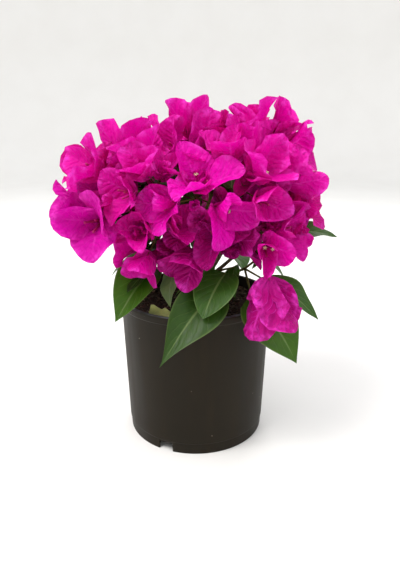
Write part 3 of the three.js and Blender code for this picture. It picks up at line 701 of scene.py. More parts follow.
def lay_leaves(spray, number, branchlet, numbers, scale, crown):
    """Leaves on a spray's branchlet, each pointing out and down. One that would cross is skipped."""
    if "facing" in spray:
        return []
    out = unit(np.array(spray["hub"]) - np.array(CROWN_CORE))
    laid = []
    for k in numbers:
        for attempt in range(TRIES):
            draw = stream(LEAF_SEED + SEEDS_PER_SPRAY * number + SEEDS_PER_PIECE * k + attempt)
            root = point_on(branchlet, between(*SPRAY_LEAF_FROM, next(draw)))
            x = tilted(out, between(*SPRAY_LEAF_TILT, next(draw)), 2 * math.pi * next(draw))
            x = unit(x - np.array([0, 0, SPRAY_LEAF_DROP]))
            y = unit(np.cross([0, 0, 1], x))
            length = SPRAY_LEAF_LENGTH * scale * between(*SPRAY_LEAF_SPREAD, next(draw))
            blades = stacked([{
                "root": root, "x": x, "y": y, "z": np.cross(x, y), "length": length,
                "width": length * LEAF_WIDTH_SHARE, "rise": 0.0, "bend": -SPRAY_LEAF_BEND,
                "fold": LEAF_FOLD, "lobe": 0.0, "taper": LEAF_TAPER}])
            if crown.crossings(blades) > 0:
                continue
            crown.add_blades(blades)
            laid.append({"blades": blades, "spray": number})
            break
    return laid


def low_leaf_blade(base, tip, width, arch, roll):
    """The blade whose arched midrib goes from base to tip."""
    root = np.array(base)
    chord = np.array(tip) - root
    length = np.linalg.norm(chord)
    way = chord / length
    lean = 2 * math.atan2(2 * arch, length)
    level = unit(np.cross([0, 0, 1], way))
    turn = math.radians(roll)
    y = level * math.cos(turn) + np.cross(way, level) * math.sin(turn)
    normal = np.cross(way, y)
    x = way * math.cos(lean) + normal * math.sin(lean)
    return stacked([{
        "root": root, "x": x, "y": y, "z": np.cross(x, y), "length": length * lean / math.sin(lean),
        "width": width, "rise": 0.0, "bend": -2 * lean, "fold": LEAF_FOLD, "lobe": LEAF_LOBE,
        "taper": LEAF_TAPER}])


TRUNK_LINE = bent(TRUNK_FOOT, TRUNK_TOP, (0, 0, 1), TRUNK_BOW)


def trunk_radius(share):
    """The trunk's radius at a share of its height: an even taper, and a flare that dies away squared."""
    flare = (FLARE_RADIUS - FOOT_RADIUS) * np.maximum(0, 1 - share / FLARE_SHARE) ** 2
    return between(FOOT_RADIUS, TRUNK_TOP_RADIUS, share) + flare


def limb_route(tier, bearing, to, radius):
    """From the trunk's side, or from its top where the tier is 1, to a point of the crown."""
    centre = point_on(TRUNK_LINE, tier)
    if tier == 1:
        upward = heading_on(TRUNK_LINE, 1)
        return bent(centre + upward * CLEAR, to, upward, BOUGH_SWING)
    turn = math.radians(bearing)
    side = np.array([math.cos(turn), math.sin(turn), 0])
    leaving = unit(side + np.array([0, 0, BOUGH_CLIMB]))
    start = centre + side * (trunk_radius(tier) + CLEAR + radius * leaving[2])
    return bent(start, to, leaving, BOUGH_SWING)


def lay_boughs(crown):
    """The boughs, their collars, and each spray with its branchlet, in order from front to back."""
    boughs, collars, order = [], [], []
    for tier, bearing, fork, sprays in MASSES.values():
        bough = limb_route(tier, bearing, fork, BOUGH_ROOT)
        heading = heading_on(bough, 1)
        knot = np.array(fork) + heading * (COLLAR_LENGTH - KNOT_DEPTH)
        boughs.append(bough)
        collars.append(straight(np.array(fork) - heading * KNOT_DEPTH, knot + heading * KNOT_DEPTH))
        crown.add_stems(stretches_of(bough, BOUGH_STEPS))
        for spray in sprays:
            branchlet = bent(knot, spray["hub"], heading, BRANCHLET_SWING)
            crown.add_stems(stretches_of(branchlet, BRANCHLET_STEPS))
            order.append((spray, branchlet))
    order.sort(key=lambda row: row[0]["hub"][1])
    return boughs, collars, order


def lay_low_leaves(crown):
    """The stems, blades and petioles of the low leaves."""
    stems, low, petioles = [], [], []
    for bearing, knuckle, leaves in LOW_LEAVES:
        stem = limb_route(LEAF_TIER, bearing, knuckle, COLLAR_RADIUS)
        stems.append(stem)
        crown.add_stems(stretches_of(stem, STEM_STEPS))
        for base, tip, width, arch, roll, tint, form in leaves:
            blades = low_leaf_blade(base, tip, width, arch, roll)
            crown.add_blades(blades)
            low.append({"blades": blades, "tint": tint, "form": form})
            petioles.append((knuckle, blades["root"][0], blades["x"][0]))
    return stems, low, petioles


@functools.cache
def lay_crown():
    """The whole plant: boughs, collars, branchlets, leaf stems, flowers and leaves."""
    crown = Crown()
    boughs, collars, order = lay_boughs(crown)
    stems, low, petioles = lay_low_leaves(crown)
    flowers, leaves = [], []
    for number, (spray, _) in enumerate(order):
        flowers += lay_flowers(spray, number, range(spray["flowers"]), 1, crown)
    for number, (spray, branchlet) in enumerate(order):
        leaves += lay_leaves(spray, number, branchlet, range(SPRAY_LEAVES), 1, crown)
    done = 0
    for count, scale in LATER:
        for number, (spray, _) in enumerate(order):
            first = spray["flowers"] + done
            flowers += lay_flowers(spray, number, range(first, first + count), scale, crown)
        done += count
    for number, (spray, branchlet) in enumerate(order):
        more = range(SPRAY_LEAVES, SPRAY_LEAVES + FINE_LEAVES)
        leaves += lay_leaves(spray, number, branchlet, more, FINE_LEAF_SCALE, crown)
    return {
        "boughs": boughs, "collars": collars, "sprays": [spray for spray, _ in order],
        "branchlets": [branchlet for _, branchlet in order], "stems": stems, "low": low,
        "petioles": petioles, "flowers": flowers, "leaves": leaves}


# Surfaces

def midribs(blades, curl, pick):
    """The angle of each midrib at the picked steps, and its path along and up. The angle is rise, and
    bend times the share along, and curl times that share cubed. The path is the running sum of the
    angle's cosine and sine."""
    fine = np.linspace(0, 1, MIDRIB_STEPS + 1)
    angle = blades["rise"][:, None] + blades["bend"][:, None] * fine + curl[:, None] * fine ** 3
    step = blades["length"][:, None] / MIDRIB_STEPS
    middle = (angle[:, 1:] + angle[:, :-1]) / 2
    along = np.concatenate([np.zeros_like(step), np.cumsum(np.cos(middle) * step, axis=1)], axis=1)
    up = np.concatenate([np.zeros_like(step), np.cumsum(np.sin(middle) * step, axis=1)], axis=1)
    return [a[:, pick, None] for a in (angle, along, up)]


def ruffles(one, shape, u, v):
    """How far a blade's surface stands off its fold: a wave along the edge that grows with v squared,
    finer ripples that grow with v, and swellings between slanted veins that fade at the edge."""
    phase = np.where(v < 0, one["left_phase"], one["right_phase"])
    wave = one["wave"] * v ** 2 * np.sin(2 * np.pi * (one["waves"] * u + phase))
    ripple = one["ripple"] * np.abs(v) * np.sin(2 * np.pi * (one["ripples"] * u - phase))
    between_veins = np.abs(np.sin(np.pi * one["veins"] * (u - one["slant"] * np.abs(v))))
    quilt = one["quilt"] * between_veins * (1 - np.abs(v)) ** 0.5
    return shape * (wave + ripple + quilt)


def waved_blades(blades, form, stations, across):
    """Points of waved blades on a grid of shares u along them and sides v across. Each side is turned up
    from the midrib, with a soft crease there, by the angle fold, more on one side by lean and more or less
    towards the edge by cup. It stands off by its ruffles, and its lobe reaches back past the base. Then
    the cross-section turns about the midrib by twist times u and moves aside by sway times u squared."""
    angle, along, up = midribs(blades, form["curl"], list(stations))
    u = np.array(stations)[None, :, None] / MIDRIB_STEPS
    v = np.array(across, float)[None, None, :]
    one = {key: value[:, None, None] for key, value in {**blades, **form}.items() if value.ndim == 1}
    shape = outline(u, one["taper"])
    aside = one["width"] / 2 * shape * v
    back = one["lobe"] * one["length"] * v ** 2 * (1 - u) ** 4
    crease = one["crease"] * one["width"] / 2 * shape
    away = np.sqrt(aside ** 2 + crease ** 2) - crease
    fold = one["fold"] * (1 - one["lean"] * v) * (1 + one["cup"] * np.abs(v) / 2)
    lift = away * np.sin(fold) + ruffles(one, shape, u, v)
    aside = aside * np.cos(fold)
    turn = one["twist"] * u
    over = aside * np.cos(turn) - lift * np.sin(turn) + one["sway"] * one["length"] * u ** 2
    raised = aside * np.sin(turn) + lift * np.cos(turn)
    on_x = along - back * np.cos(angle) - raised * np.sin(angle)
    on_z = up - back * np.sin(angle) + raised * np.cos(angle)
    return (blades["root"][:, None, None] + blades["x"][:, None, None] * on_x[..., None]
            + blades["z"][:, None, None] * on_z[..., None] + blades["y"][:, None, None] * over[..., None])


def blade_forms(count, kind, curl, wave, rng):
    """Each blade's own curl, wave, twist and sway, drawn by seed from what its kind gives. Curl and wave
    are scales for the drawn shares."""
    form = {key: rng.uniform(*kind[key], count) for key in ("curl", "wave", "waves", "ripple", "ripples")}
    for key, scale in (("curl", curl), ("wave", wave), ("ripple", wave)):
        form[key] = form[key] * scale
    form["left_phase"] = rng.random(count)
    form["right_phase"] = rng.random(count)
    form["twist"] = rng.normal(0, kind["twist"], count)
    form["sway"] = rng.normal(0, SWAY_SPREAD, count)
    form["cup"] = rng.uniform(*kind["cup"], count)
    form["lean"] = rng.normal(0, LEAN_SPREAD, count)
    for key, value in kind["alike"].items():
        form[key] = np.full(count, float(value))
    return form


def merged(blade_sets):
    """Sets of blades as one set."""
    return {key: np.concatenate([blades[key] for blades in blade_sets]) for key in blade_sets[0]}


def blade_patch(points, stations, across):
    """A blade's grid with its first and last rows drawn together in one point each: points, faces and
    the places on the blade, along and across from 0 to 1."""
    count, rows, columns = points.shape[:3]
    inner = points[:, 1:-1].reshape(count, -1, 3)
    corners = np.concatenate([points[:, :1, 0], inner, points[:, -1:, 0]], axis=1)
    tip = 1 + (rows - 2) * columns
    grid = 1 + np.arange((rows - 2) * columns).reshape(rows - 2, columns)
    quads = np.stack([grid[:-1, :-1], grid[1:, :-1], grid[1:, 1:], grid[:-1, 1:]], axis=-1).reshape(-1, 4)
    first, last = grid[0], grid[-1]
    fans = np.concatenate([
        np.stack([np.zeros(columns - 1, int), first[:-1], first[1:]], axis=1),
        np.stack([np.full(columns - 1, tip), last[1:], last[:-1]], axis=1)])
    along = np.array(stations)[1:-1] / MIDRIB_STEPS
    sides = (np.array(across, float) + 1) / 2
    places = np.stack(np.meshgrid(along, sides, indexing="ij"), axis=-1).reshape(-1, 2)
    places = np.concatenate([[[0, 0.5]], places, [[1, 0.5]]])
    return corners, [quads, fans], places


def tube_patch(bends, radii, sides, relief=0.0):
    """Closed limbs: a ring of points round each step of a bend, at the radius given for that step, with
    a point at each end. A bend lies in a plane, whose normal carries the rings without twist. The bark's
    relief, if any, stands off outwards."""
    bends = np.asarray(bends)
    steps = radii.shape[1]
    t = np.linspace(0, 1, steps)[None, :, None]
    start, pull, end = (bends[:, None, i] for i in range(3))
    centre = on_curve(start, pull, end, t)
    tangent = unit((1 - t) * (pull - start) + t * (end - pull))
    plane = np.cross(bends[:, 1] - bends[:, 0], bends[:, 2] - bends[:, 1])
    chord = bends[:, 2] - bends[:, 0]
    level = np.abs(chord[:, 2:]) < UPRIGHT * np.linalg.norm(chord, axis=1, keepdims=True)
    helper = np.where(level, [[0.0, 0.0, 1.0]], [[1.0, 0.0, 0.0]])
    lone = np.linalg.norm(plane, axis=1, keepdims=True) < FLAT ** 0.75
    plane = unit(np.where(lone, np.cross(chord, helper), plane))[:, None]
    other = np.cross(plane, tangent)
    turn = np.linspace(0, 2 * np.pi, sides, endpoint=False)
    around = (plane[:, :, None] * np.cos(turn)[:, None] + other[:, :, None] * np.sin(turn)[:, None])
    rings = centre[:, :, None] + around * radii[..., None, None]
    if relief:
        rings = rings + around * bark_relief(rings, relief)[..., None]
    return closed_rings(rings, centre[:, 0], centre[:, -1])


def closed_rings(rings, start, end):
    """Rings of points joined in a closed surface between a start and an end point."""
    count, steps, sides = rings.shape[:3]
    points = np.concatenate([start[:, None], rings.reshape(count, -1, 3), end[:, None]], axis=1)
    grid = 1 + np.arange(steps * sides).reshape(steps, sides)
    following = np.roll(grid, -1, axis=1)
    quads = np.stack([grid[:-1], following[:-1], following[1:], grid[1:]], axis=-1).reshape(-1, 4)
    last = 1 + steps * sides
    fans = np.concatenate([
        np.stack([np.zeros(sides, int), following[0], grid[0]], axis=1),
        np.stack([np.full(sides, last), grid[-1], following[-1]], axis=1)])
    return points, [quads, fans]


def filleted(corners, radius):
    """A profile whose inner corners are rounded: each becomes a short curve between points set back by
    the radius, or by a share of the shorter side, along its two sides."""
    corners = np.array(corners, float)
    t = np.linspace(0, 1, FILLET_POINTS)[:, None]
    rounded = [corners[:1]]
    for before, corner, after in zip(corners[:-2], corners[1:-1], corners[2:]):
        back, on = before - corner, after - corner
        reach = min(radius, FILLET_SHARE * np.linalg.norm(back), FILLET_SHARE * np.linalg.norm(on))
        a, b = corner + unit(back) * reach, corner + unit(on) * reach
        rounded.append(on_curve(a, corner, b, t))
    rounded.append(corners[-1:])
    return np.concatenate(rounded)


class Pile:
    """Gathers copies of patches as one mesh, with a finish for each copy or face. A blade's points also
    keep their places on the blade."""

    def __init__(self):
        self.points, self.faces, self.finishes, self.places = [], [], [], []
        self.size = 0
        self.copies = 0

    def add(self, points, patterns, finish=0, places=None, face_finish=None):
        """Adds copies of a patch, whose points differ and whose patterns of faces are the same."""
        count, size = points.shape[:2]
        offset = self.size + np.arange(count)[:, None, None] * size
        finish = np.broadcast_to(finish, (count,))
        for number, pattern in enumerate(patterns):
            self.faces += (offset + pattern[None]).reshape(-1, pattern.shape[1]).tolist()
            each = np.repeat(finish, len(pattern)).reshape(count, -1)
            if face_finish is not None:
                each = each + face_finish[number][None]
            self.finishes.append(each.ravel())
        self.points.append(points.reshape(-1, 3))
        if places is not None:
            self.places.append(np.broadcast_to(places, (count, size, 2)))
        self.size += count * size
        self.copies += count

    def add_tubes(self, bends, start, end, steps, sides, relief=0.0):
        """Adds round limbs whose radius goes evenly from start to end."""
        radii = np.repeat(np.linspace(start, end, steps)[None], len(bends), axis=0)
        self.add(*tube_patch(bends, radii, sides, relief))

    def add_blades(self, blades, form, grid, finish):
        """Adds waved blades on a grid of stations and sides."""
        corners, faces, places = blade_patch(waved_blades(blades, form, *grid), *grid)
        self.add(corners, faces, finish, places)

    def mesh(self, name):
        """All that was added, as one smooth mesh."""
        mesh = bpy.data.meshes.new(name)
        mesh.from_pydata(np.concatenate(self.points).tolist(), [], self.faces)
        mesh.polygons.foreach_set("material_index", np.concatenate(self.finishes).astype(np.int32))
        mesh.polygons.foreach_set("use_smooth", np.ones(len(self.faces), bool))
        if self.places:
            self.add_maps(mesh)
        mesh.update()
        return mesh

    def add_maps(self, mesh):
        """The map "blade" holds each point's place on its own blade. The map "OFBake" lays the blades
        out side by side in a square."""
        corners = np.empty(len(mesh.loops), np.int32)
        mesh.loops.foreach_get("vertex_index", corners)
        blade = np.concatenate([place.reshape(-1, 2) for place in self.places])
        sizes = np.concatenate([np.full(len(place), place.shape[1]) for place in self.places])
        number = np.repeat(np.arange(self.copies), sizes)
        side = math.ceil(math.sqrt(self.copies))
        cell = np.stack([number % side, number // side], axis=1)
        sheet = (cell + MAP_MARGIN + (1 - 2 * MAP_MARGIN) * blade) / side
        for name, places in (("blade", blade), ("OFBake", sheet)):
            layer = mesh.uv_layers.new(name=name)
            layer.uv.foreach_set("vector", places[corners].astype(np.float32).ravel())


def add_piece(name, pile, materials, nodes):
    """Makes a pile's mesh a piece of the scene that stands for CAD nodes."""
    piece = bpy.data.objects.new(name, pile.mesh(name))
    bpy.context.scene.collection.objects.link(piece)
    for material in materials:
        piece.data.materials.append(material)
    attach(piece, "root")
    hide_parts(*nodes)


# Finishes

class Finish:
    """A material whose nodes are added and linked by name."""

    def __init__(self, name):
        self.material = bpy.data.materials.new(name)
        self.material.use_nodes = True
        self.tree = self.material.node_tree
        self.shader = self.tree.nodes["Principled BSDF"]
        self.output = self.tree.nodes["Material Output"]

    def node(self, kind, inputs=None, **settings):
        made = self.tree.nodes.new(kind)
        for key, value in settings.items():
            setattr(made, key, value)
        for key, value in (inputs or {}).items():
            self.put(made.inputs[key], value)
        return made

    def put(self, socket, value):
        if isinstance(value, bpy.types.NodeSocket):
            self.tree.links.new(value, socket)
        else:
            socket.default_value = value

    def set(self, **inputs):
        """Sets the shader's sockets, whose names are given with underscores for spaces."""
        for key, value in inputs.items():
            self.put(self.shader.inputs[key.replace("_", " ")], value)

    def math(self, operation, a, b=0.0, c=0.0):
        return self.node("ShaderNodeMath", {0: a, 1: b, 2: c}, operation=operation).outputs[0]

    def smooth(self, value, low, high, start=0.0, end=1.0):
        """Goes smoothly from start to end as the value goes from low to high."""
        inputs = {"Value": value, "From Min": low, "From Max": high, "To Min": start, "To Max": end}
        return self.node("ShaderNodeMapRange", inputs, interpolation_type="SMOOTHSTEP").outputs[0]

    def mixed(self, share, a, b):
        return self.node("ShaderNodeMix", {0: share, 6: a, 7: b}, data_type="RGBA").outputs[2]

    def object_place(self, scale=(1, 1, 1)):
        place = self.node("ShaderNodeTexCoord").outputs["Object"]
        return self.node("ShaderNodeMapping", {"Vector": place, "Scale": scale}).outputs[0]

    def cloud(self, scale, detail=3.0, place=None, rough=0.5):
        inputs = {"Vector": place or self.object_place(), "Scale": scale, "Detail": detail,
                  "Roughness": rough}
        return self.node("ShaderNodeTexNoise", inputs).outputs["Fac"]

    def cells(self, scale, feature="F1"):
        inputs = {"Vector": self.object_place(), "Scale": scale}
        return self.node("ShaderNodeTexVoronoi", inputs, feature=feature).outputs["Distance"]

    def bump(self, height, strength, distance):
        made = self.node("ShaderNodeBump", {"Height": height, "Strength": strength, "Distance": distance})
        self.put(self.shader.inputs["Normal"], made.outputs[0])
        return made.outputs[0]

    def let_through(self, share, colour, normal):
        """Mixes in light that passes through the blade."""
        through = self.node("ShaderNodeBsdfTranslucent", {"Color": colour, "Normal": normal})
        parts = {0: share, 1: self.shader.outputs[0], 2: through.outputs[0]}
        both = self.node("ShaderNodeMixShader", parts)
        self.tree.links.new(both.outputs[0], self.output.inputs["Surface"])


def blade_veins(finish, veins, slant, thin, wander):
    """Masks on the map "blade": the side veins, which leave the midrib forwards at equal steps, the
    midrib, and the swelling between the veins. With them come the places across and along the blade."""
    place = finish.node("ShaderNodeUVMap", uv_map="blade").outputs[0]
    parts = finish.node("ShaderNodeSeparateXYZ", {0: place})
    along, across = parts.outputs[0], parts.outputs[1]
    side = finish.math("ABSOLUTE", finish.math("MULTIPLY_ADD", across, 2.0, -1.0))
    drift = finish.math("MULTIPLY", finish.cloud(70.0, 1.0), wander)
    slanted = finish.math("ADD", finish.math("MULTIPLY_ADD", side, -slant, along), drift)
    cell = finish.math("PINGPONG", finish.math("MULTIPLY", slanted, veins), 0.5)
    lateral = finish.smooth(cell, 0.0, thin, 1.0, 0.0)
    lateral = finish.math("MULTIPLY", lateral, finish.smooth(side, 0.55, 1.0, 1.0, 0.25))
    midrib = finish.math("MULTIPLY", finish.smooth(side, 0.02, 0.08, 1.0, 0.0),
                         finish.smooth(along, 0.7, 1.0, 1.0, 0.3))
    return lateral, midrib, cell, side, along


def rgba(colour):
    """An opaque colour of four numbers."""
    return (*colour, 1.0)


def shaded(colour, factor):
    """A colour times a factor for each of its parts."""
    return tuple(min(1.0, c * f) for c, f in zip(colour, factor))


def papery_bract(name, colour, vein_colour, relief):
    """Papery bract: soft dents, a paler base, a paler edge that is partly its own colour and partly a
    painted highlight on the crumpled margin, fine veins, puckered between them, and light shines through."""
    finish = Finish(name)
    lateral, midrib, cell, side, along = blade_veins(finish, **BRACT_VEINS)
    veins = finish.math("MAXIMUM", lateral, midrib)
    dents = finish.cloud(150.0, 4.0)
    patches = finish.smooth(finish.cloud(60.0, 2.0), 0.42, 0.62)
    # The edge is paler where the dents rise: partly its own colour, partly painted highlight on the
    # crumpled margin
    margin = finish.math("MAXIMUM", side, finish.smooth(along, 0.45, 1.0, 0.0, 0.95))
    edge = finish.math("MULTIPLY", finish.smooth(margin, 0.45, 0.95),
                       finish.smooth(dents, 0.40, 0.60, 0.15, 1.0))
    edge = finish.math("MULTIPLY", edge, finish.math("MULTIPLY_ADD", patches, 0.75, 0.25))
    heart = finish.smooth(along, 0.0, 0.3, 0.35, 0.0)
    ribs = finish.math("MULTIPLY", veins, finish.math("MULTIPLY_ADD", patches, 0.5 * relief, 0.15))
    pale = finish.math("MAXIMUM", ribs, finish.math("MAXIMUM", edge, heart))
    tint = finish.mixed(pale, rgba(colour), rgba(vein_colour))
    crinkle = finish.math("MULTIPLY_ADD", cell, 0.2 + relief, finish.math("MULTIPLY", dents, 2.4))
    height = finish.math("SUBTRACT", crinkle, finish.math("MULTIPLY", veins, 0.3 * relief))
    normal = finish.bump(height, *BRACT_BUMP)
    finish.set(Base_Color=tint, Roughness=finish.smooth(dents, 0.3, 0.7, 0.50, 0.66),
               Specular_IOR_Level=BRACT_SPECULAR)
    finish.let_through(BRACT_THROUGH, tint, normal)
    return finish.material


def green_leaf(name, colour, vein_colour, roughness, specular=LEAF_SPECULAR):
    """Leaf: mottled green, pale midrib and veins in shallow grooves, a waxy gloss."""
    finish = Finish(name)
    lateral, midrib, cell, side, _ = blade_veins(finish, **LEAF_VEINS)
    cloud = finish.cloud(140.0, 4.0)
    mottle = finish.mixed(finish.smooth(cloud, 0.35, 0.7), rgba(colour),
                          rgba(shaded(colour, LEAF_MOTTLE)))
    edge = finish.smooth(side, 0.90, 1.0)
    veins = finish.math("MAXIMUM", finish.math("MULTIPLY", lateral, 0.18),
                        finish.math("MULTIPLY", midrib, 0.6))
    pale = finish.math("MAXIMUM", veins, finish.math("MULTIPLY", edge, 0.5))
    tint = finish.mixed(pale, mottle, rgba(vein_colour))
    swelling = finish.math("MULTIPLY_ADD", finish.cloud(900.0), 0.25, cell)
    groove = finish.math("MULTIPLY", finish.math("MAXIMUM", lateral, midrib), 0.5)
    height = finish.math("SUBTRACT", swelling, groove)
    normal = finish.bump(height, *LEAF_BUMP)
    finish.set(Base_Color=tint, Roughness=finish.smooth(cloud, 0.3, 0.7, roughness, roughness + 0.12),
               Specular_IOR_Level=specular)
    finish.let_through(LEAF_THROUGH, rgba(shaded(colour, LEAF_GLOW)), normal)
    return finish.material


def black_plastic(name, colour):
    """Injection-moulded tub: satin black, a fine grain, faint upright scuffs, dust specks, and a paler
    lip that is a painted highlight along its rounded edge, broken up like wear."""
    finish = Finish(name)
    grain = finish.cloud(1400.0, 2.0)
    scuffs = finish.cloud(30.0, 5.0, finish.object_place((1, 1, 0.12)), 0.6)
    specks = finish.smooth(finish.cells(110.0), 0.035, 0.075, 1.0, 0.0)
    chance = finish.smooth(finish.cloud(45.0, 1.0), 0.56, 0.62)
    dust = finish.math("MULTIPLY", specks, chance)
    film = finish.smooth(scuffs, 0.42, 0.75, 0.0, 0.35)
    height = finish.node("ShaderNodeSeparateXYZ", {0: finish.object_place()}).outputs[2]
    # Painted highlight on the lip: its top is mixed towards a pale bluish grey, broken up by noise like
    # wear
    lip = finish.smooth(height, POT_HEIGHT - RIM_ROUND, POT_HEIGHT - 0.3 * RIM_ROUND)
    lip_highlight_and_wear = finish.math("MULTIPLY", lip, finish.smooth(finish.cloud(90.0, 4.0), 0.3, 0.6, 0.35, 1.0))
    tone = finish.mixed(film, rgba(colour), rgba(shaded(colour, POT_FILM)))
    tone = finish.mixed(lip_highlight_and_wear, tone, rgba(LIP_HIGHLIGHT_AND_WEAR))
    finish.bump(finish.math("MULTIPLY_ADD", grain, 0.5, scuffs), *POT_BUMP)
    finish.set(Base_Color=finish.mixed(dust, tone, rgba(DUST)),
               Roughness=finish.smooth(scuffs, 0.3, 0.75, 0.40, 0.58), Specular_IOR_Level=POT_SPECULAR)
    return finish.material


def potting_mix(name, colour, light):
    """Moist peat: dark crumbs with paler fibres."""
    finish = Finish(name)
    crumbs = finish.cloud(420.0, 6.0, rough=0.65)
    fibres = finish.smooth(finish.cells(520.0, "DISTANCE_TO_EDGE"), 0.0, 0.08, 1.0, 0.0)
    share = finish.math("MULTIPLY_ADD", fibres, 0.15, finish.smooth(crumbs, 0.45, 0.72, 0.0, 0.8))
    finish.bump(crumbs, *MIX_BUMP)
    finish.set(Base_Color=finish.mixed(share, rgba(colour), rgba(light)), Roughness=MIX_ROUGHNESS,
               Specular_IOR_Level=0.2)
    return finish.material


def bark(name, colour, dark, scale):
    """Bark: streaks along the limb, pores and a fine grain."""
    finish = Finish(name)
    streak = finish.cloud(scale, 6.0, finish.object_place((1, 1, 0.25)), 0.6)
    pores = finish.smooth(finish.cells(scale * 1.6), 0.05, 0.2, 1.0, 0.0)
    share = finish.math("MAXIMUM", finish.smooth(streak, 0.35, 0.68), finish.math("MULTIPLY", pores, 0.6))
    finish.bump(finish.math("SUBTRACT", streak, finish.math("MULTIPLY", pores, 0.3)), *BARK_BUMP)
    finish.set(Base_Color=finish.mixed(share, rgba(colour), rgba(dark)), Roughness=BARK_ROUGHNESS,
               Specular_IOR_Level=0.25)
    return finish.material


def soft_petal(name, colour, other):
    """Tubes and stars: a plain soft colour, a little uneven."""
    finish = Finish(name)
    cloud = finish.cloud(700.0, 2.0)
    finish.bump(cloud, *PETAL_BUMP)
    finish.set(Base_Color=finish.mixed(finish.smooth(cloud, 0.3, 0.7), rgba(colour), rgba(other)),
               Roughness=0.5, Specular_IOR_Level=0.3)
    return finish.material


# Settings

def colour_setting(name, description, default):
    """A colour of three numbers from 0 to 1."""
    return FloatVectorProperty(name=name, description=description, subtype="COLOR", size=3, min=0, max=1,
                               default=default)


class BougainvilleaPotSettings(PropertyGroup):
    colour: colour_setting("Plastic", "Colour of the pot's black plastic",
                           (0.0115, 0.0085, 0.0042))
    soil_colour: colour_setting("Potting mix", "Colour of the moist potting mix",
                                (0.020, 0.012, 0.008))
    chip_colour: colour_setting("Bark chips", "Colour of the paler chips in the mix",
                                (0.11, 0.065, 0.040))


class BougainvilleaFlowerSettings(PropertyGroup):
    colour: colour_setting("Bracts", "Main magenta of the bracts",
                           (0.72, 0.0, 0.345))
    vein_colour: colour_setting("Veins", "Colour of the bracts' veins",
                                (0.90, 0.05, 0.62))
    wave: FloatProperty(
        name="Wave", description="Height of the waves along a bract's edge", subtype="DISTANCE",
        min=0, max=0.01, default=0.0040)
    curl: FloatProperty(
        name="Curl", description="Most that a bract's tip curls in or out", subtype="ANGLE",
        min=0, max=2, default=0.55)


class BougainvilleaLeafSettings(PropertyGroup):
    colour: colour_setting("Leaves", "Green of the leaves",
                           (0.028, 0.080, 0.008))
    vein_colour: colour_setting("Midribs", "Colour of the midribs and leaf edges",
                                (0.19, 0.28, 0.09))
    wave: FloatProperty(
        name="Wave", description="Height of the waves along a leaf's edge", subtype="DISTANCE",
        min=0, max=0.01, default=0.0016)


class BougainvilleaBarkSettings(PropertyGroup):
    colour: colour_setting("Bark", "Colour of the trunk's bark",
                           (0.150, 0.105, 0.060))
    twig_colour: colour_setting("Twigs", "Colour of the green-brown twigs",
                                (0.130, 0.115, 0.030))
    relief: FloatProperty(
        name="Relief", description="Height of the bark's ridges", subtype="DISTANCE",
        min=0, max=0.003, default=0.0004)


class BougainvilleaStageSettings(PropertyGroup):
    floor_colour: colour_setting("Floor", "Colour of the floor and the backdrop",
                                 (0.80, 0.79, 0.77))
    key_power: FloatProperty(
        name="Key light", description="Power of the large soft light", unit="POWER",
        min=0, max=500, default=34.0)
    sky: FloatProperty(
        name="Sky", description="Strength of the even light from all around", min=0, max=5, default=1.15)


SETTINGS = {
    "bougainvillea_pot": BougainvilleaPotSettings,
    "bougainvillea_flower": BougainvilleaFlowerSettings,
    "bougainvillea_leaf": BougainvilleaLeafSettings,
    "bougainvillea_bark": BougainvilleaBarkSettings,
    "bougainvillea_stage": BougainvilleaStageSettings,
}


# Pot and soil

def wall_radius(z):
    """The pot's outside radius at a height, between its foot ring and its rim."""
    return between(BASE_RADIUS, TOP_RADIUS, (z - FOOT_HEIGHT) / (POT_HEIGHT - RIM_DEPTH - FOOT_HEIGHT))


def pot_profile():
    """Radius and height, from the middle of the raised floor's underside out and up to the rim and back
    down inside to the middle of the floor."""
    foot = BASE_RADIUS - FOOT_STEP
    rim_foot = POT_HEIGHT - RIM_DEPTH
    wall = [(wall_radius(z), z) for z in np.linspace(FOOT_HEIGHT, rim_foot, WALL_RINGS)]
    return filleted([
        (0, FOOT_HEIGHT), (foot - WALL, FOOT_HEIGHT), (foot - WALL - FOOT_DRAFT, 0), (foot - FOOT_DRAFT, 0),
        (foot, FOOT_HEIGHT - FOOT_STEP), *wall, (RIM_RADIUS - RIM_ROUND / 2, rim_foot + RIM_ROUND),
        (RIM_RADIUS, POT_HEIGHT - 2 * RIM_ROUND), (RIM_RADIUS - RIM_ROUND / 4, POT_HEIGHT - RIM_ROUND / 2),
        (RIM_RADIUS - RIM_ROUND, POT_HEIGHT), (wall_radius(POT_HEIGHT) - WALL, POT_HEIGHT),
        (BASE_RADIUS - WALL, FOOT_HEIGHT + WALL), (0, FOOT_HEIGHT + WALL)], EDGE_ROUND)


def nearness(turns, centre, half, soft):
    """1 within half of a bearing, 0 beyond half and soft, all in degrees."""
    away = np.abs((turns - centre + 180) % 360 - 180)
    return np.clip((half + soft - away) / soft, 0, 1)


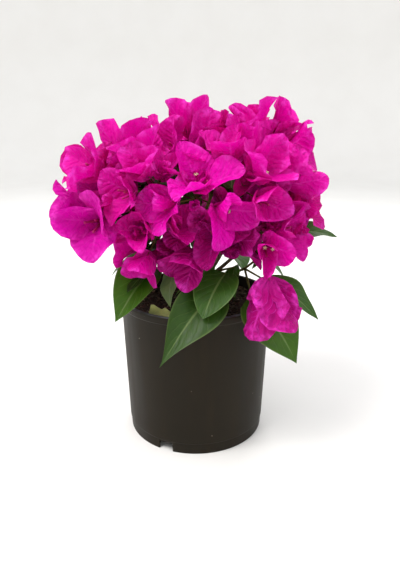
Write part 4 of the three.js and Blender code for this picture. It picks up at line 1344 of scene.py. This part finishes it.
def pot_surface():
    """The profile carried round the Z axis. Within a notch the foot ring's heights are pressed up into
    what is left above the notch, and within the rim's seam the rim is sunk in."""
    degree = math.degrees(1 / BASE_RADIUS)
    half, soft = NOTCH_WIDTH / 2 * degree, NOTCH_SOFT * degree
    seam = SEAM_WIDTH / 2 * degree
    special = [turn + step for turn in NOTCH_TURNS for step in (-half - soft, -half, half, half + soft)]
    special += [SEAM_TURN + step for step in (-2 * seam, -seam, seam, 2 * seam)]
    even = np.linspace(-180, 180, POT_COLUMNS, endpoint=False)
    turns = np.sort(np.concatenate([even, (np.array(special) + 180) % 360 - 180]))
    notch = sum(nearness(turns, turn, half, soft) for turn in NOTCH_TURNS)
    sunk = nearness(turns, SEAM_TURN, seam, seam)
    profile = pot_profile()[1:-1]
    radius, height = profile[:, :1], profile[:, 1:]
    low = height < FOOT_HEIGHT
    pressed = NOTCH_HEIGHT + height * (1 - NOTCH_HEIGHT / FOOT_HEIGHT)
    height = np.where(low, height + notch * (pressed - height), height + 0 * notch)
    band = (profile[:, 1:] > POT_HEIGHT - RIM_DEPTH) & (radius > TOP_RADIUS)
    radius = radius - np.where(band, SEAM_DEPTH * sunk, 0)
    angle = np.radians(turns)
    rings = np.stack([radius * np.cos(angle), radius * np.sin(angle), height], axis=-1)
    under = np.array([[0, 0, FOOT_HEIGHT]])
    floor = np.array([[0, 0, FOOT_HEIGHT + WALL]])
    return closed_rings(rings[None], under, floor)


def soil_height(points):
    """How far the soil's surface stands off its even height: clods and crumbs of smooth noise."""
    clods = CLOD_HEIGHT * noise(points, CLOD_SIZE, CLOD_SEED)
    return clods + CRUMB_HEIGHT * noise(points, CRUMB_SIZE, CRUMB_SEED)


def soil_top(x, y):
    """The even height of the soil, a little lower at the wall."""
    out = np.hypot(x, y) / SOIL_RADIUS
    return SOIL_TOP - SOIL_EDGE_DROP * out ** 2 - CLOD_HEIGHT


def soil_surface():
    """A closed plug: rings from the middle of the top out to the wall, down it and in under the floor."""
    share = np.linspace(SOIL_FIRST_RING, 1, SOIL_RINGS)
    angle = np.linspace(0, 2 * np.pi, SOIL_COLUMNS, endpoint=False)
    x = SOIL_RADIUS * share[:, None] * np.cos(angle)
    y = SOIL_RADIUS * share[:, None] * np.sin(angle)
    z = soil_top(x, y)
    top = np.stack([x, y, z], axis=-1)
    top[..., 2] += soil_height(top)
    bottom_radius = BASE_RADIUS - WALL - 2 * CLEAR
    bottom = np.stack([bottom_radius * np.cos(angle), bottom_radius * np.sin(angle),
                       np.full_like(angle, SOIL_FLOOR)], axis=-1)
    rings = np.concatenate([bottom[None], top[::-1]])
    middle = np.array([[0, 0, SOIL_TOP - CLOD_HEIGHT]])
    return closed_rings(rings[None], np.array([[0, 0, SOIL_FLOOR]]), middle)


def chip_boxes(rng):
    """Flat chips strewn on the soil: boxes with jittered corners, each turned and leaned its own way."""
    size = between(*CHIP_SIZE, rng.random((CHIPS, 1)) ** 2) * np.array(CHIP_SHAPE)
    box = np.array(list(itertools.product((-1, 1), repeat=3)), float)
    corners = box[None] * size[:, None] * rng.uniform(*CHIP_JITTER, (CHIPS, *box.shape))
    turn, lean = rng.uniform(0, 2 * np.pi, CHIPS), rng.normal(0, CHIP_LEAN, CHIPS)
    corners = turned_about(corners, lean, 0)
    corners = turned_about(corners, turn, 2)
    out = SOIL_RADIUS * CHIP_REACH * np.sqrt(rng.random(CHIPS))
    bearing = rng.uniform(0, 2 * np.pi, CHIPS)
    x, y = out * np.cos(bearing), out * np.sin(bearing)
    at = np.stack([x, y, soil_top(x, y)], axis=-1)
    at[:, 2] += soil_height(at) + size[:, 2] * 0.5
    faces = np.array([[0, 1, 3, 2], [4, 6, 7, 5], [0, 4, 5, 1], [2, 3, 7, 6], [0, 2, 6, 4], [1, 5, 7, 3]])
    return corners + at[:, None], [faces]


def turned_about(points, angle, axis):
    """Points of each copy turned about an axis by that copy's angle."""
    a, b = [i for i in range(3) if i != axis]
    c, s = np.cos(angle)[:, None], np.sin(angle)[:, None]
    turned = points.copy()
    turned[..., a] = points[..., a] * c - points[..., b] * s
    turned[..., b] = points[..., a] * s + points[..., b] * c
    return turned


class BougainvilleaPot(Operator):
    """Makes the pot with its rolled rim, raised floor and notched foot ring"""

    bl_idname = "bougainvillea.pot"
    bl_label = "Pot"

    def execute(self, context):
        settings = context.scene.bougainvillea_pot
        pile = Pile()
        pile.add(*pot_surface())
        finish = black_plastic("Satin black plastic", settings.colour)
        add_piece("pot_tub", pile, [finish], ["pot"])
        return {"FINISHED"}


class BougainvilleaSoil(Operator):
    """Makes the potting mix with its clods and chips"""

    bl_idname = "bougainvillea.soil"
    bl_label = "Soil"

    def execute(self, context):
        settings = context.scene.bougainvillea_pot
        mix = potting_mix("Moist potting mix", settings.soil_colour, settings.chip_colour)
        bed = Pile()
        bed.add(*soil_surface())
        add_piece("soil_bed", bed, [mix], ["soil"])
        rng = np.random.default_rng(CHIP_SEED)
        chips = Pile()
        chips.add(*chip_boxes(rng), finish=rng.choice(3, CHIPS, p=CHIP_SHARES))
        finishes = [mix, bark("Bark chip", settings.chip_colour, settings.soil_colour, CHIP_GRAIN),
                    bark("Pale chip", PALE_CHIP, settings.chip_colour, CHIP_GRAIN)]
        add_piece("soil_chips", chips, finishes, ["soil"])
        return {"FINISHED"}


# Limbs and twigs

def bark_relief(points, height):
    """How far the bark stands off: smooth noise drawn out upwards in ridges, with finer pits."""
    ridges = noise(points * np.array(RIDGE_STRETCH), RIDGE_SIZE, RIDGE_SEED)
    pits = noise(points, PIT_SIZE, PIT_SEED)
    return height * (RIDGE_SHARE * ridges + (1 - RIDGE_SHARE) * pits)


class BougainvilleaLimbs(Operator):
    """Makes the trunk and the boughs with the bark's relief"""

    bl_idname = "bougainvillea.limbs"
    bl_label = "Trunk and boughs"

    def execute(self, context):
        settings = context.scene.bougainvillea_bark
        pile = Pile()
        radii = trunk_radius(np.linspace(0, 1, TRUNK_RINGS))[None]
        pile.add(*tube_patch([TRUNK_LINE], radii, TRUNK_SIDES, settings.relief))
        relief = BOUGH_RELIEF * settings.relief
        pile.add_tubes(lay_crown()["boughs"], BOUGH_ROOT, BOUGH_TIP, *BOUGH_GRID, relief)
        finish = bark("Grey-brown bark", settings.colour, shaded(settings.colour, BARK_DARK), BARK_GRAIN)
        add_piece("trunk_and_boughs", pile, [finish], LIMB_NODES)
        return {"FINISHED"}


def bowed(start, end, sag, rng):
    """Short stalks from start to end points, each pulled aside at its middle by sag times its length."""
    start, end = np.asarray(start), np.asarray(end)
    reach = np.linalg.norm(end - start, axis=-1, keepdims=True)
    pull = (start + end) / 2 + rng.normal(0, sag, start.shape) * reach
    return np.stack([start, pull, end], axis=1)


class BougainvilleaTwigs(Operator):
    """Makes the collars, branchlets, leaf stems and the finer twigs of every spray"""

    bl_idname = "bougainvillea.twigs"
    bl_label = "Twigs"

    def execute(self, context):
        settings = context.scene.bougainvillea_bark
        crown = lay_crown()
        rng = np.random.default_rng(TWIG_SEED)
        pile = Pile()
        pile.add_tubes(crown["collars"], COLLAR_RADIUS, COLLAR_RADIUS, *COLLAR_GRID)
        pile.add_tubes(crown["branchlets"], BRANCHLET_ROOT, BRANCHLET_TIP, *BRANCHLET_GRID)
        pile.add_tubes(crown["stems"], COLLAR_RADIUS, BRANCHLET_ROOT, *BRANCHLET_GRID)
        stalks = np.array([flower["stalk"] for flower in crown["flowers"] + young_flowers()])
        peduncles = bowed(stalks[:, 0], stalks[:, 1], PEDUNCLE_SAG, rng)
        pile.add_tubes(peduncles, PEDUNCLE_ROOT, PEDUNCLE_TIP, *PEDUNCLE_GRID)
        low = [bent(knuckle, root + x * PETIOLE_SINK, unit(root - np.array(knuckle)), LOW_PETIOLE_SWING)
               for knuckle, root, x in crown["petioles"]]
        pile.add_tubes(low, LOW_PETIOLE_ROOT, LOW_PETIOLE_TIP, *LOW_PETIOLE_GRID)
        roots = np.array([leaf["blades"]["root"][0] for leaf in crown["leaves"]])
        ways = np.array([leaf["blades"]["x"][0] for leaf in crown["leaves"]])
        petioles = bowed(roots, roots + ways * (PETIOLE + PETIOLE_SINK), PETIOLE_SAG, rng)
        pile.add_tubes(petioles, PETIOLE_RADIUS, PETIOLE_TIP, *PETIOLE_GRID)
        dark = shaded(settings.twig_colour, TWIG_DARK)
        finish = bark("Green-brown twig", settings.twig_colour, dark, TWIG_GRAIN)
        add_piece("twigs", pile, [finish], MASS_NODES + LEAF_NODES)
        return {"FINISHED"}


# Flowers

@functools.cache
def young_flowers():
    """Half-open flowers close round each spray's hub."""
    young = []
    for number, spray in enumerate(lay_crown()["sprays"]):
        if "facing" in spray:
            continue
        hub, out = np.array(spray["hub"]), outward_of(spray)
        rng = np.random.default_rng(YOUNG_SEED + number)
        for _ in range(YOUNG_PER_SPRAY):
            axis = tilted(out, rng.uniform(*YOUNG_TILT), rng.uniform(0, 2 * np.pi))
            base = hub + axis * rng.uniform(*YOUNG_REACH)
            length, opening = rng.uniform(*YOUNG_LENGTH), rng.uniform(*YOUNG_OPENING)
            young.append({
                "blades": flower_blades(base, axis, rng.uniform(0, 2 * np.pi), opening, length),
                "stalk": np.array([hub, base]), "axis": axis, "base": base, "length": length,
                "opening": opening, "spray": number})
    return young


def spray_tints(sprays, rng):
    """A tint for each spray, mostly the main one. The hanging flower takes the deep tint as painted shade,
    darkening it though it faces the key light.
    """
    shares = [share for share, _, _ in BRACT_TINTS.values()]
    drawn = rng.choice(len(shares), len(sprays), p=shares)
    deep = list(BRACT_TINTS).index("deep")
    # Painted shade: the hanging flower faces the key light, so the deep tint darkens it
    return [deep if "facing" in spray else tint for spray, tint in zip(sprays, drawn)]


class BougainvilleaBracts(Operator):
    """Makes the papery magenta bracts of every flower"""

    bl_idname = "bougainvillea.bracts"
    bl_label = "Bracts"

    def execute(self, context):
        settings = context.scene.bougainvillea_flower
        flowers = lay_crown()["flowers"] + young_flowers()
        rng = np.random.default_rng(BRACT_SEED)
        tints = spray_tints(lay_crown()["sprays"], rng)
        blades = merged([flower["blades"] for flower in flowers])
        count = len(blades["length"])
        blades["fold"] = rng.uniform(*FINE_BRACT_FOLD, count)
        blades["length"] = blades["length"] * rng.uniform(*FINE_BRACT_LENGTH, count)
        blades["width"] = blades["width"] * rng.uniform(*FINE_BRACT_WIDTH, count)
        blades["taper"] = rng.uniform(*FINE_BRACT_TAPER, count)
        form = blade_forms(count, BRACT_FORM, settings.curl, settings.wave, rng)
        form["wave"] = form["wave"] * np.clip(blades["length"] / BRACT_LENGTH, *WAVE_SCALES)
        finish = np.repeat([tints[flower["spray"]] for flower in flowers], BRACTS)
        pile = Pile()
        pile.add_blades(blades, form, BRACT_GRID, finish)
        finishes = [papery_bract(f"Bract {tint}", shaded(settings.colour, factor), settings.vein_colour,
                                 relief) for tint, (_, factor, relief) in BRACT_TINTS.items()]
        add_piece("bracts", pile, finishes, MASS_NODES)
        return {"FINISHED"}


class BougainvilleaTubes(Operator):
    """Makes the slim tube flowers with their cream stars, and the buds"""

    bl_idname = "bougainvillea.tubes"
    bl_label = "Tube flowers"

    def execute(self, context):
        flowers = lay_crown()["flowers"] + young_flowers()
        rng = np.random.default_rng(TUBE_SEED)
        axis = np.repeat([flower["axis"] for flower in flowers], BRACTS, axis=0)
        base = np.repeat([flower["base"] for flower in flowers], BRACTS, axis=0)
        length = np.repeat([flower["length"] for flower in flowers], BRACTS)
        outward = -np.concatenate([flower["blades"]["z"] for flower in flowers])
        opening = np.repeat([flower["opening"] for flower in flowers], BRACTS)
        splay = np.minimum(TUBE_SPLAY, TUBE_SPLAY_SHARE * opening) * rng.normal(1, SPLAY_SPREAD, len(axis))
        splay = splay[:, None]
        way = unit(axis * np.cos(splay) + outward * np.sin(splay))
        reach = length * TUBE_LENGTH_SHARE * rng.uniform(*TUBE_PLAY, len(axis))
        start = base + outward * TUBE_OFFSET
        opened = rng.random(len(axis)) < OPEN_SHARE * (length > OPEN_FROM_LENGTH)
        pile = Pile()
        for chosen, star in ((opened, 1), (~opened, 0)):
            tubes = [part[chosen] for part in (start, way, outward, reach)]
            points, faces, last = tube_flowers(*tubes, star)
            pile.add(points, faces, face_finish=[star * part for part in last])
        finishes = [soft_petal("Tube pink", *TUBE_PINKS), soft_petal("Star cream", *STAR_CREAMS)]
        add_piece("tube_flowers", pile, finishes, MASS_NODES)
        return {"FINISHED"}


def tube_flowers(start, way, outward, reach, star):
    """Rings of points along each tube, at its shape's shares and radii. The last ring is a star whose
    radius goes between an outer and an inner one, or closes to a bud, and ends in a throat or a point.
    The last list marks the faces of the last ring and its end."""
    side = unit(np.cross(way, outward))
    other = np.cross(way, side)
    turn = np.linspace(0, 2 * np.pi, TUBE_SIDES, endpoint=False)
    around = side[:, None] * np.cos(turn)[:, None] + other[:, None] * np.sin(turn)[:, None]
    scale = np.clip(reach / (BRACT_LENGTH * TUBE_LENGTH_SHARE), *TUBE_SCALES)
    rings = [start[:, None] + way[:, None] * (reach * share)[:, None, None]
             + around * (radius * scale)[:, None, None] for share, radius in TUBE_SHAPE[1:]]
    petals = np.where(np.arange(TUBE_SIDES) % 2 == 0, STAR_OUTER, STAR_INNER)
    radius = (petals if star else np.full(TUBE_SIDES, BUD_RADIUS)) * scale[:, None]
    rise, point = (STAR_RISE, -STAR_THROAT) if star else (BUD_RISE, BUD_POINT)
    top = start + way * (reach + rise)[:, None]
    rings.append(top[:, None] + around * radius[..., None])
    end = start + way * (reach + point)[:, None]
    points, (quads, fans) = closed_rings(np.stack(rings, axis=1), start, end)
    bands = len(rings) - 1
    star_band = np.repeat(np.arange(bands) == bands - 1, TUBE_SIDES).astype(int)
    star_fan = np.repeat([0, 1], TUBE_SIDES)
    return points, [quads, fans], [star_band, star_fan]


# Leaves

def fine_leaves(leaves, wave, rng):
    """The blades of leaves, brought to their fine outline, and the forms drawn for them."""
    blades = merged([leaf["blades"] for leaf in leaves])
    blades["taper"] = np.full(len(leaves), FINE_LEAF_TAPER)
    blades["width"] = blades["width"] * FINE_LEAF_WIDTH
    return blades, blade_forms(len(leaves), LEAF_FORM, 1, wave, rng)


def leaf_finishes(settings):
    """The finishes of the leaves, in the order of their tints."""
    main, midrib = settings.colour, settings.vein_colour
    return [
        green_leaf("Leaf deep", shaded(main, (0.66, 0.64, 0.55)), shaded(midrib, (0.7, 0.7, 0.6)), 0.40),
        green_leaf("Leaf mid", main, midrib, 0.42),
        green_leaf("Leaf fresh", shaded(main, (1.25, 1.22, 0.8)), midrib, 0.38),
        green_leaf("Leaf underside", (0.13, 0.19, 0.08), (0.28, 0.32, 0.17), 0.55, 0.25),
        green_leaf("Leaf dry", (0.36, 0.38, 0.15), (0.50, 0.48, 0.26), 0.7, 0.2)]


class BougainvilleaLowLeaves(Operator):
    """Makes the large leaves over the rim and the withered leaf on the soil"""

    bl_idname = "bougainvillea.low_leaves"
    bl_label = "Low leaves"

    def execute(self, context):
        settings = context.scene.bougainvillea_leaf
        low = list(lay_crown()["low"])
        *shape, tint, own = FALLEN_LEAF
        low.append({"blades": low_leaf_blade(*shape), "tint": tint, "form": own})
        blades, form = fine_leaves(low, settings.wave, np.random.default_rng(LOW_LEAF_SEED))
        for number, leaf in enumerate(low):
            for key, value in leaf["form"].items():
                (blades if key in blades else form)[key][number] = value
        pile = Pile()
        pile.add_blades(blades, form, LEAF_GRID, [LEAF_TINTS.index(leaf["tint"]) for leaf in low])
        add_piece("low_leaves", pile, leaf_finishes(settings), LEAF_NODES)
        return {"FINISHED"}


class BougainvilleaSprayLeaves(Operator):
    """Makes the smaller leaves under the sprays"""

    bl_idname = "bougainvillea.spray_leaves"
    bl_label = "Spray leaves"

    def execute(self, context):
        settings = context.scene.bougainvillea_leaf
        leaves = lay_crown()["leaves"]
        rng = np.random.default_rng(SPRAY_LEAF_SEED)
        blades, form = fine_leaves(leaves, settings.wave, rng)
        blades["root"] = blades["root"] + blades["x"] * PETIOLE
        blades["length"] = blades["length"] - PETIOLE
        form["quilt"] = np.zeros(len(leaves))
        tints = len(SPRAY_LEAF_SHARES)
        tint = rng.choice(tints, len(lay_crown()["sprays"]), p=SPRAY_LEAF_SHARES)
        pile = Pile()
        pile.add_blades(blades, form, BRACT_GRID, [tint[leaf["spray"]] for leaf in leaves])
        add_piece("spray_leaves", pile, leaf_finishes(settings)[:tints], MASS_NODES)
        return {"FINISHED"}


# Stage

def backdrop_mesh():
    """A round floor that curves up into a wall: a profile of radius and height carried round Z."""
    t = np.linspace(0, np.pi / 2, FLOOR_BEND_RINGS)
    bend = np.stack([FLOOR_RADIUS + FLOOR_BEND * np.sin(t), FLOOR_BEND * (1 - np.cos(t))], axis=1)
    profile = np.concatenate([[[FLOOR_HOLE, 0.0]], bend, [[FLOOR_RADIUS + FLOOR_BEND, WALL_HEIGHT]]])
    turn = np.linspace(0, 2 * np.pi, FLOOR_COLUMNS, endpoint=False)
    points = np.stack([profile[:, :1] * np.cos(turn), profile[:, :1] * np.sin(turn),
                       profile[:, 1:] + 0 * turn], axis=-1)
    grid = np.arange(points.shape[0] * FLOOR_COLUMNS).reshape(-1, FLOOR_COLUMNS)
    following = np.roll(grid, -1, axis=1)
    quads = np.stack([grid[:-1], grid[1:], following[1:], following[:-1]], axis=-1).reshape(-1, 4)
    mesh = bpy.data.meshes.new("backdrop")
    mesh.from_pydata(points.reshape(-1, 3).tolist(), [], quads.tolist())
    mesh.polygons.foreach_set("use_smooth", np.ones(len(quads), bool))
    return mesh


def add_light(name, place, size, power, colour):
    """A square area light at a place, facing the middle of the bush."""
    light = bpy.data.lights.new(name, "AREA")
    light.size = size
    light.energy = power
    light.color = colour
    lamp = bpy.data.objects.new(name, light)
    bpy.context.scene.collection.objects.link(lamp)
    lamp.location = place
    way = np.array(AIM) - np.array(place)
    yaw = math.atan2(way[1], way[0])
    pitch = math.atan2(math.hypot(way[0], way[1]), -way[2])
    lamp.rotation_euler = (pitch, 0, yaw - math.pi / 2)


class BougainvilleaStage(Operator):
    """Makes the floor, the soft light and the camera"""

    bl_idname = "bougainvillea.stage"
    bl_label = "Stage"

    def execute(self, context):
        settings = context.scene.bougainvillea_stage
        scene = context.scene
        mesh = backdrop_mesh()
        finish = Finish("Pale floor")
        cloud = finish.cloud(6.0, 4.0)
        share = finish.smooth(cloud, 0.3, 0.7, 0.0, 0.15)
        finish.set(Base_Color=finish.mixed(share, rgba(settings.floor_colour), rgba(FLOOR_OTHER)),
                   Roughness=0.8, Specular_IOR_Level=0.2)
        mesh.materials.append(finish.material)
        floor = bpy.data.objects.new("floor", mesh)
        scene.collection.objects.link(floor)
        world = bpy.data.worlds.new("Soft sky")
        world.use_nodes = True
        sky = world.node_tree.nodes["Background"]
        sky.inputs[0].default_value = rgba(SKY_COLOUR)
        sky.inputs[1].default_value = settings.sky
        scene.world = world
        for name, place, size, share, colour in LIGHTS:
            add_light(name, place, size, settings.key_power * share, colour)
        data = bpy.data.cameras.new("camera")
        data.lens = CAMERA_LENS
        data.sensor_width = SENSOR
        camera = bpy.data.objects.new("camera", data)
        scene.collection.objects.link(camera)
        camera.location = CAMERA_PLACE
        camera.rotation_euler = (math.radians(90 - CAMERA_PITCH), 0, 0)
        scene.camera = camera
        scene.view_settings.view_transform = "Standard"
        return {"FINISHED"}


OPERATORS = (BougainvilleaPot, BougainvilleaSoil, BougainvilleaLimbs, BougainvilleaTwigs,
             BougainvilleaBracts, BougainvilleaTubes, BougainvilleaLowLeaves, BougainvilleaSprayLeaves,
             BougainvilleaStage)


class BougainvilleaPanel(Panel):
    """Lists the settings and the pieces of the bush"""

    bl_idname = "VIEW3D_PT_bougainvillea"
    bl_label = "Bougainvillea"
    bl_space_type = "VIEW_3D"
    bl_region_type = "UI"
    bl_category = "Bougainvillea"

    def draw(self, context):
        for name, group in SETTINGS.items():
            box = self.layout.box()
            for key in group.__annotations__:
                box.prop(getattr(context.scene, name), key)
        for operator in OPERATORS:
            self.layout.operator(operator.bl_idname)


CLASSES = (*SETTINGS.values(), *OPERATORS, BougainvilleaPanel)


def register():
    for cls in CLASSES:
        bpy.utils.register_class(cls)
    for name, group in SETTINGS.items():
        setattr(bpy.types.Scene, name, PointerProperty(type=group))


def unregister():
    for name in SETTINGS:
        delattr(bpy.types.Scene, name)
    for cls in reversed(CLASSES):
        bpy.utils.unregister_class(cls)


def main():
    register()
    bpy.ops.bougainvillea.pot()
    bpy.ops.bougainvillea.soil()
    bpy.ops.bougainvillea.limbs()
    bpy.ops.bougainvillea.twigs()
    bpy.ops.bougainvillea.bracts()
    bpy.ops.bougainvillea.tubes()
    bpy.ops.bougainvillea.low_leaves()
    bpy.ops.bougainvillea.spray_leaves()
    bpy.ops.bougainvillea.stage()
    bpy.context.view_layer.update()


if __name__ == "__main__":
    main()
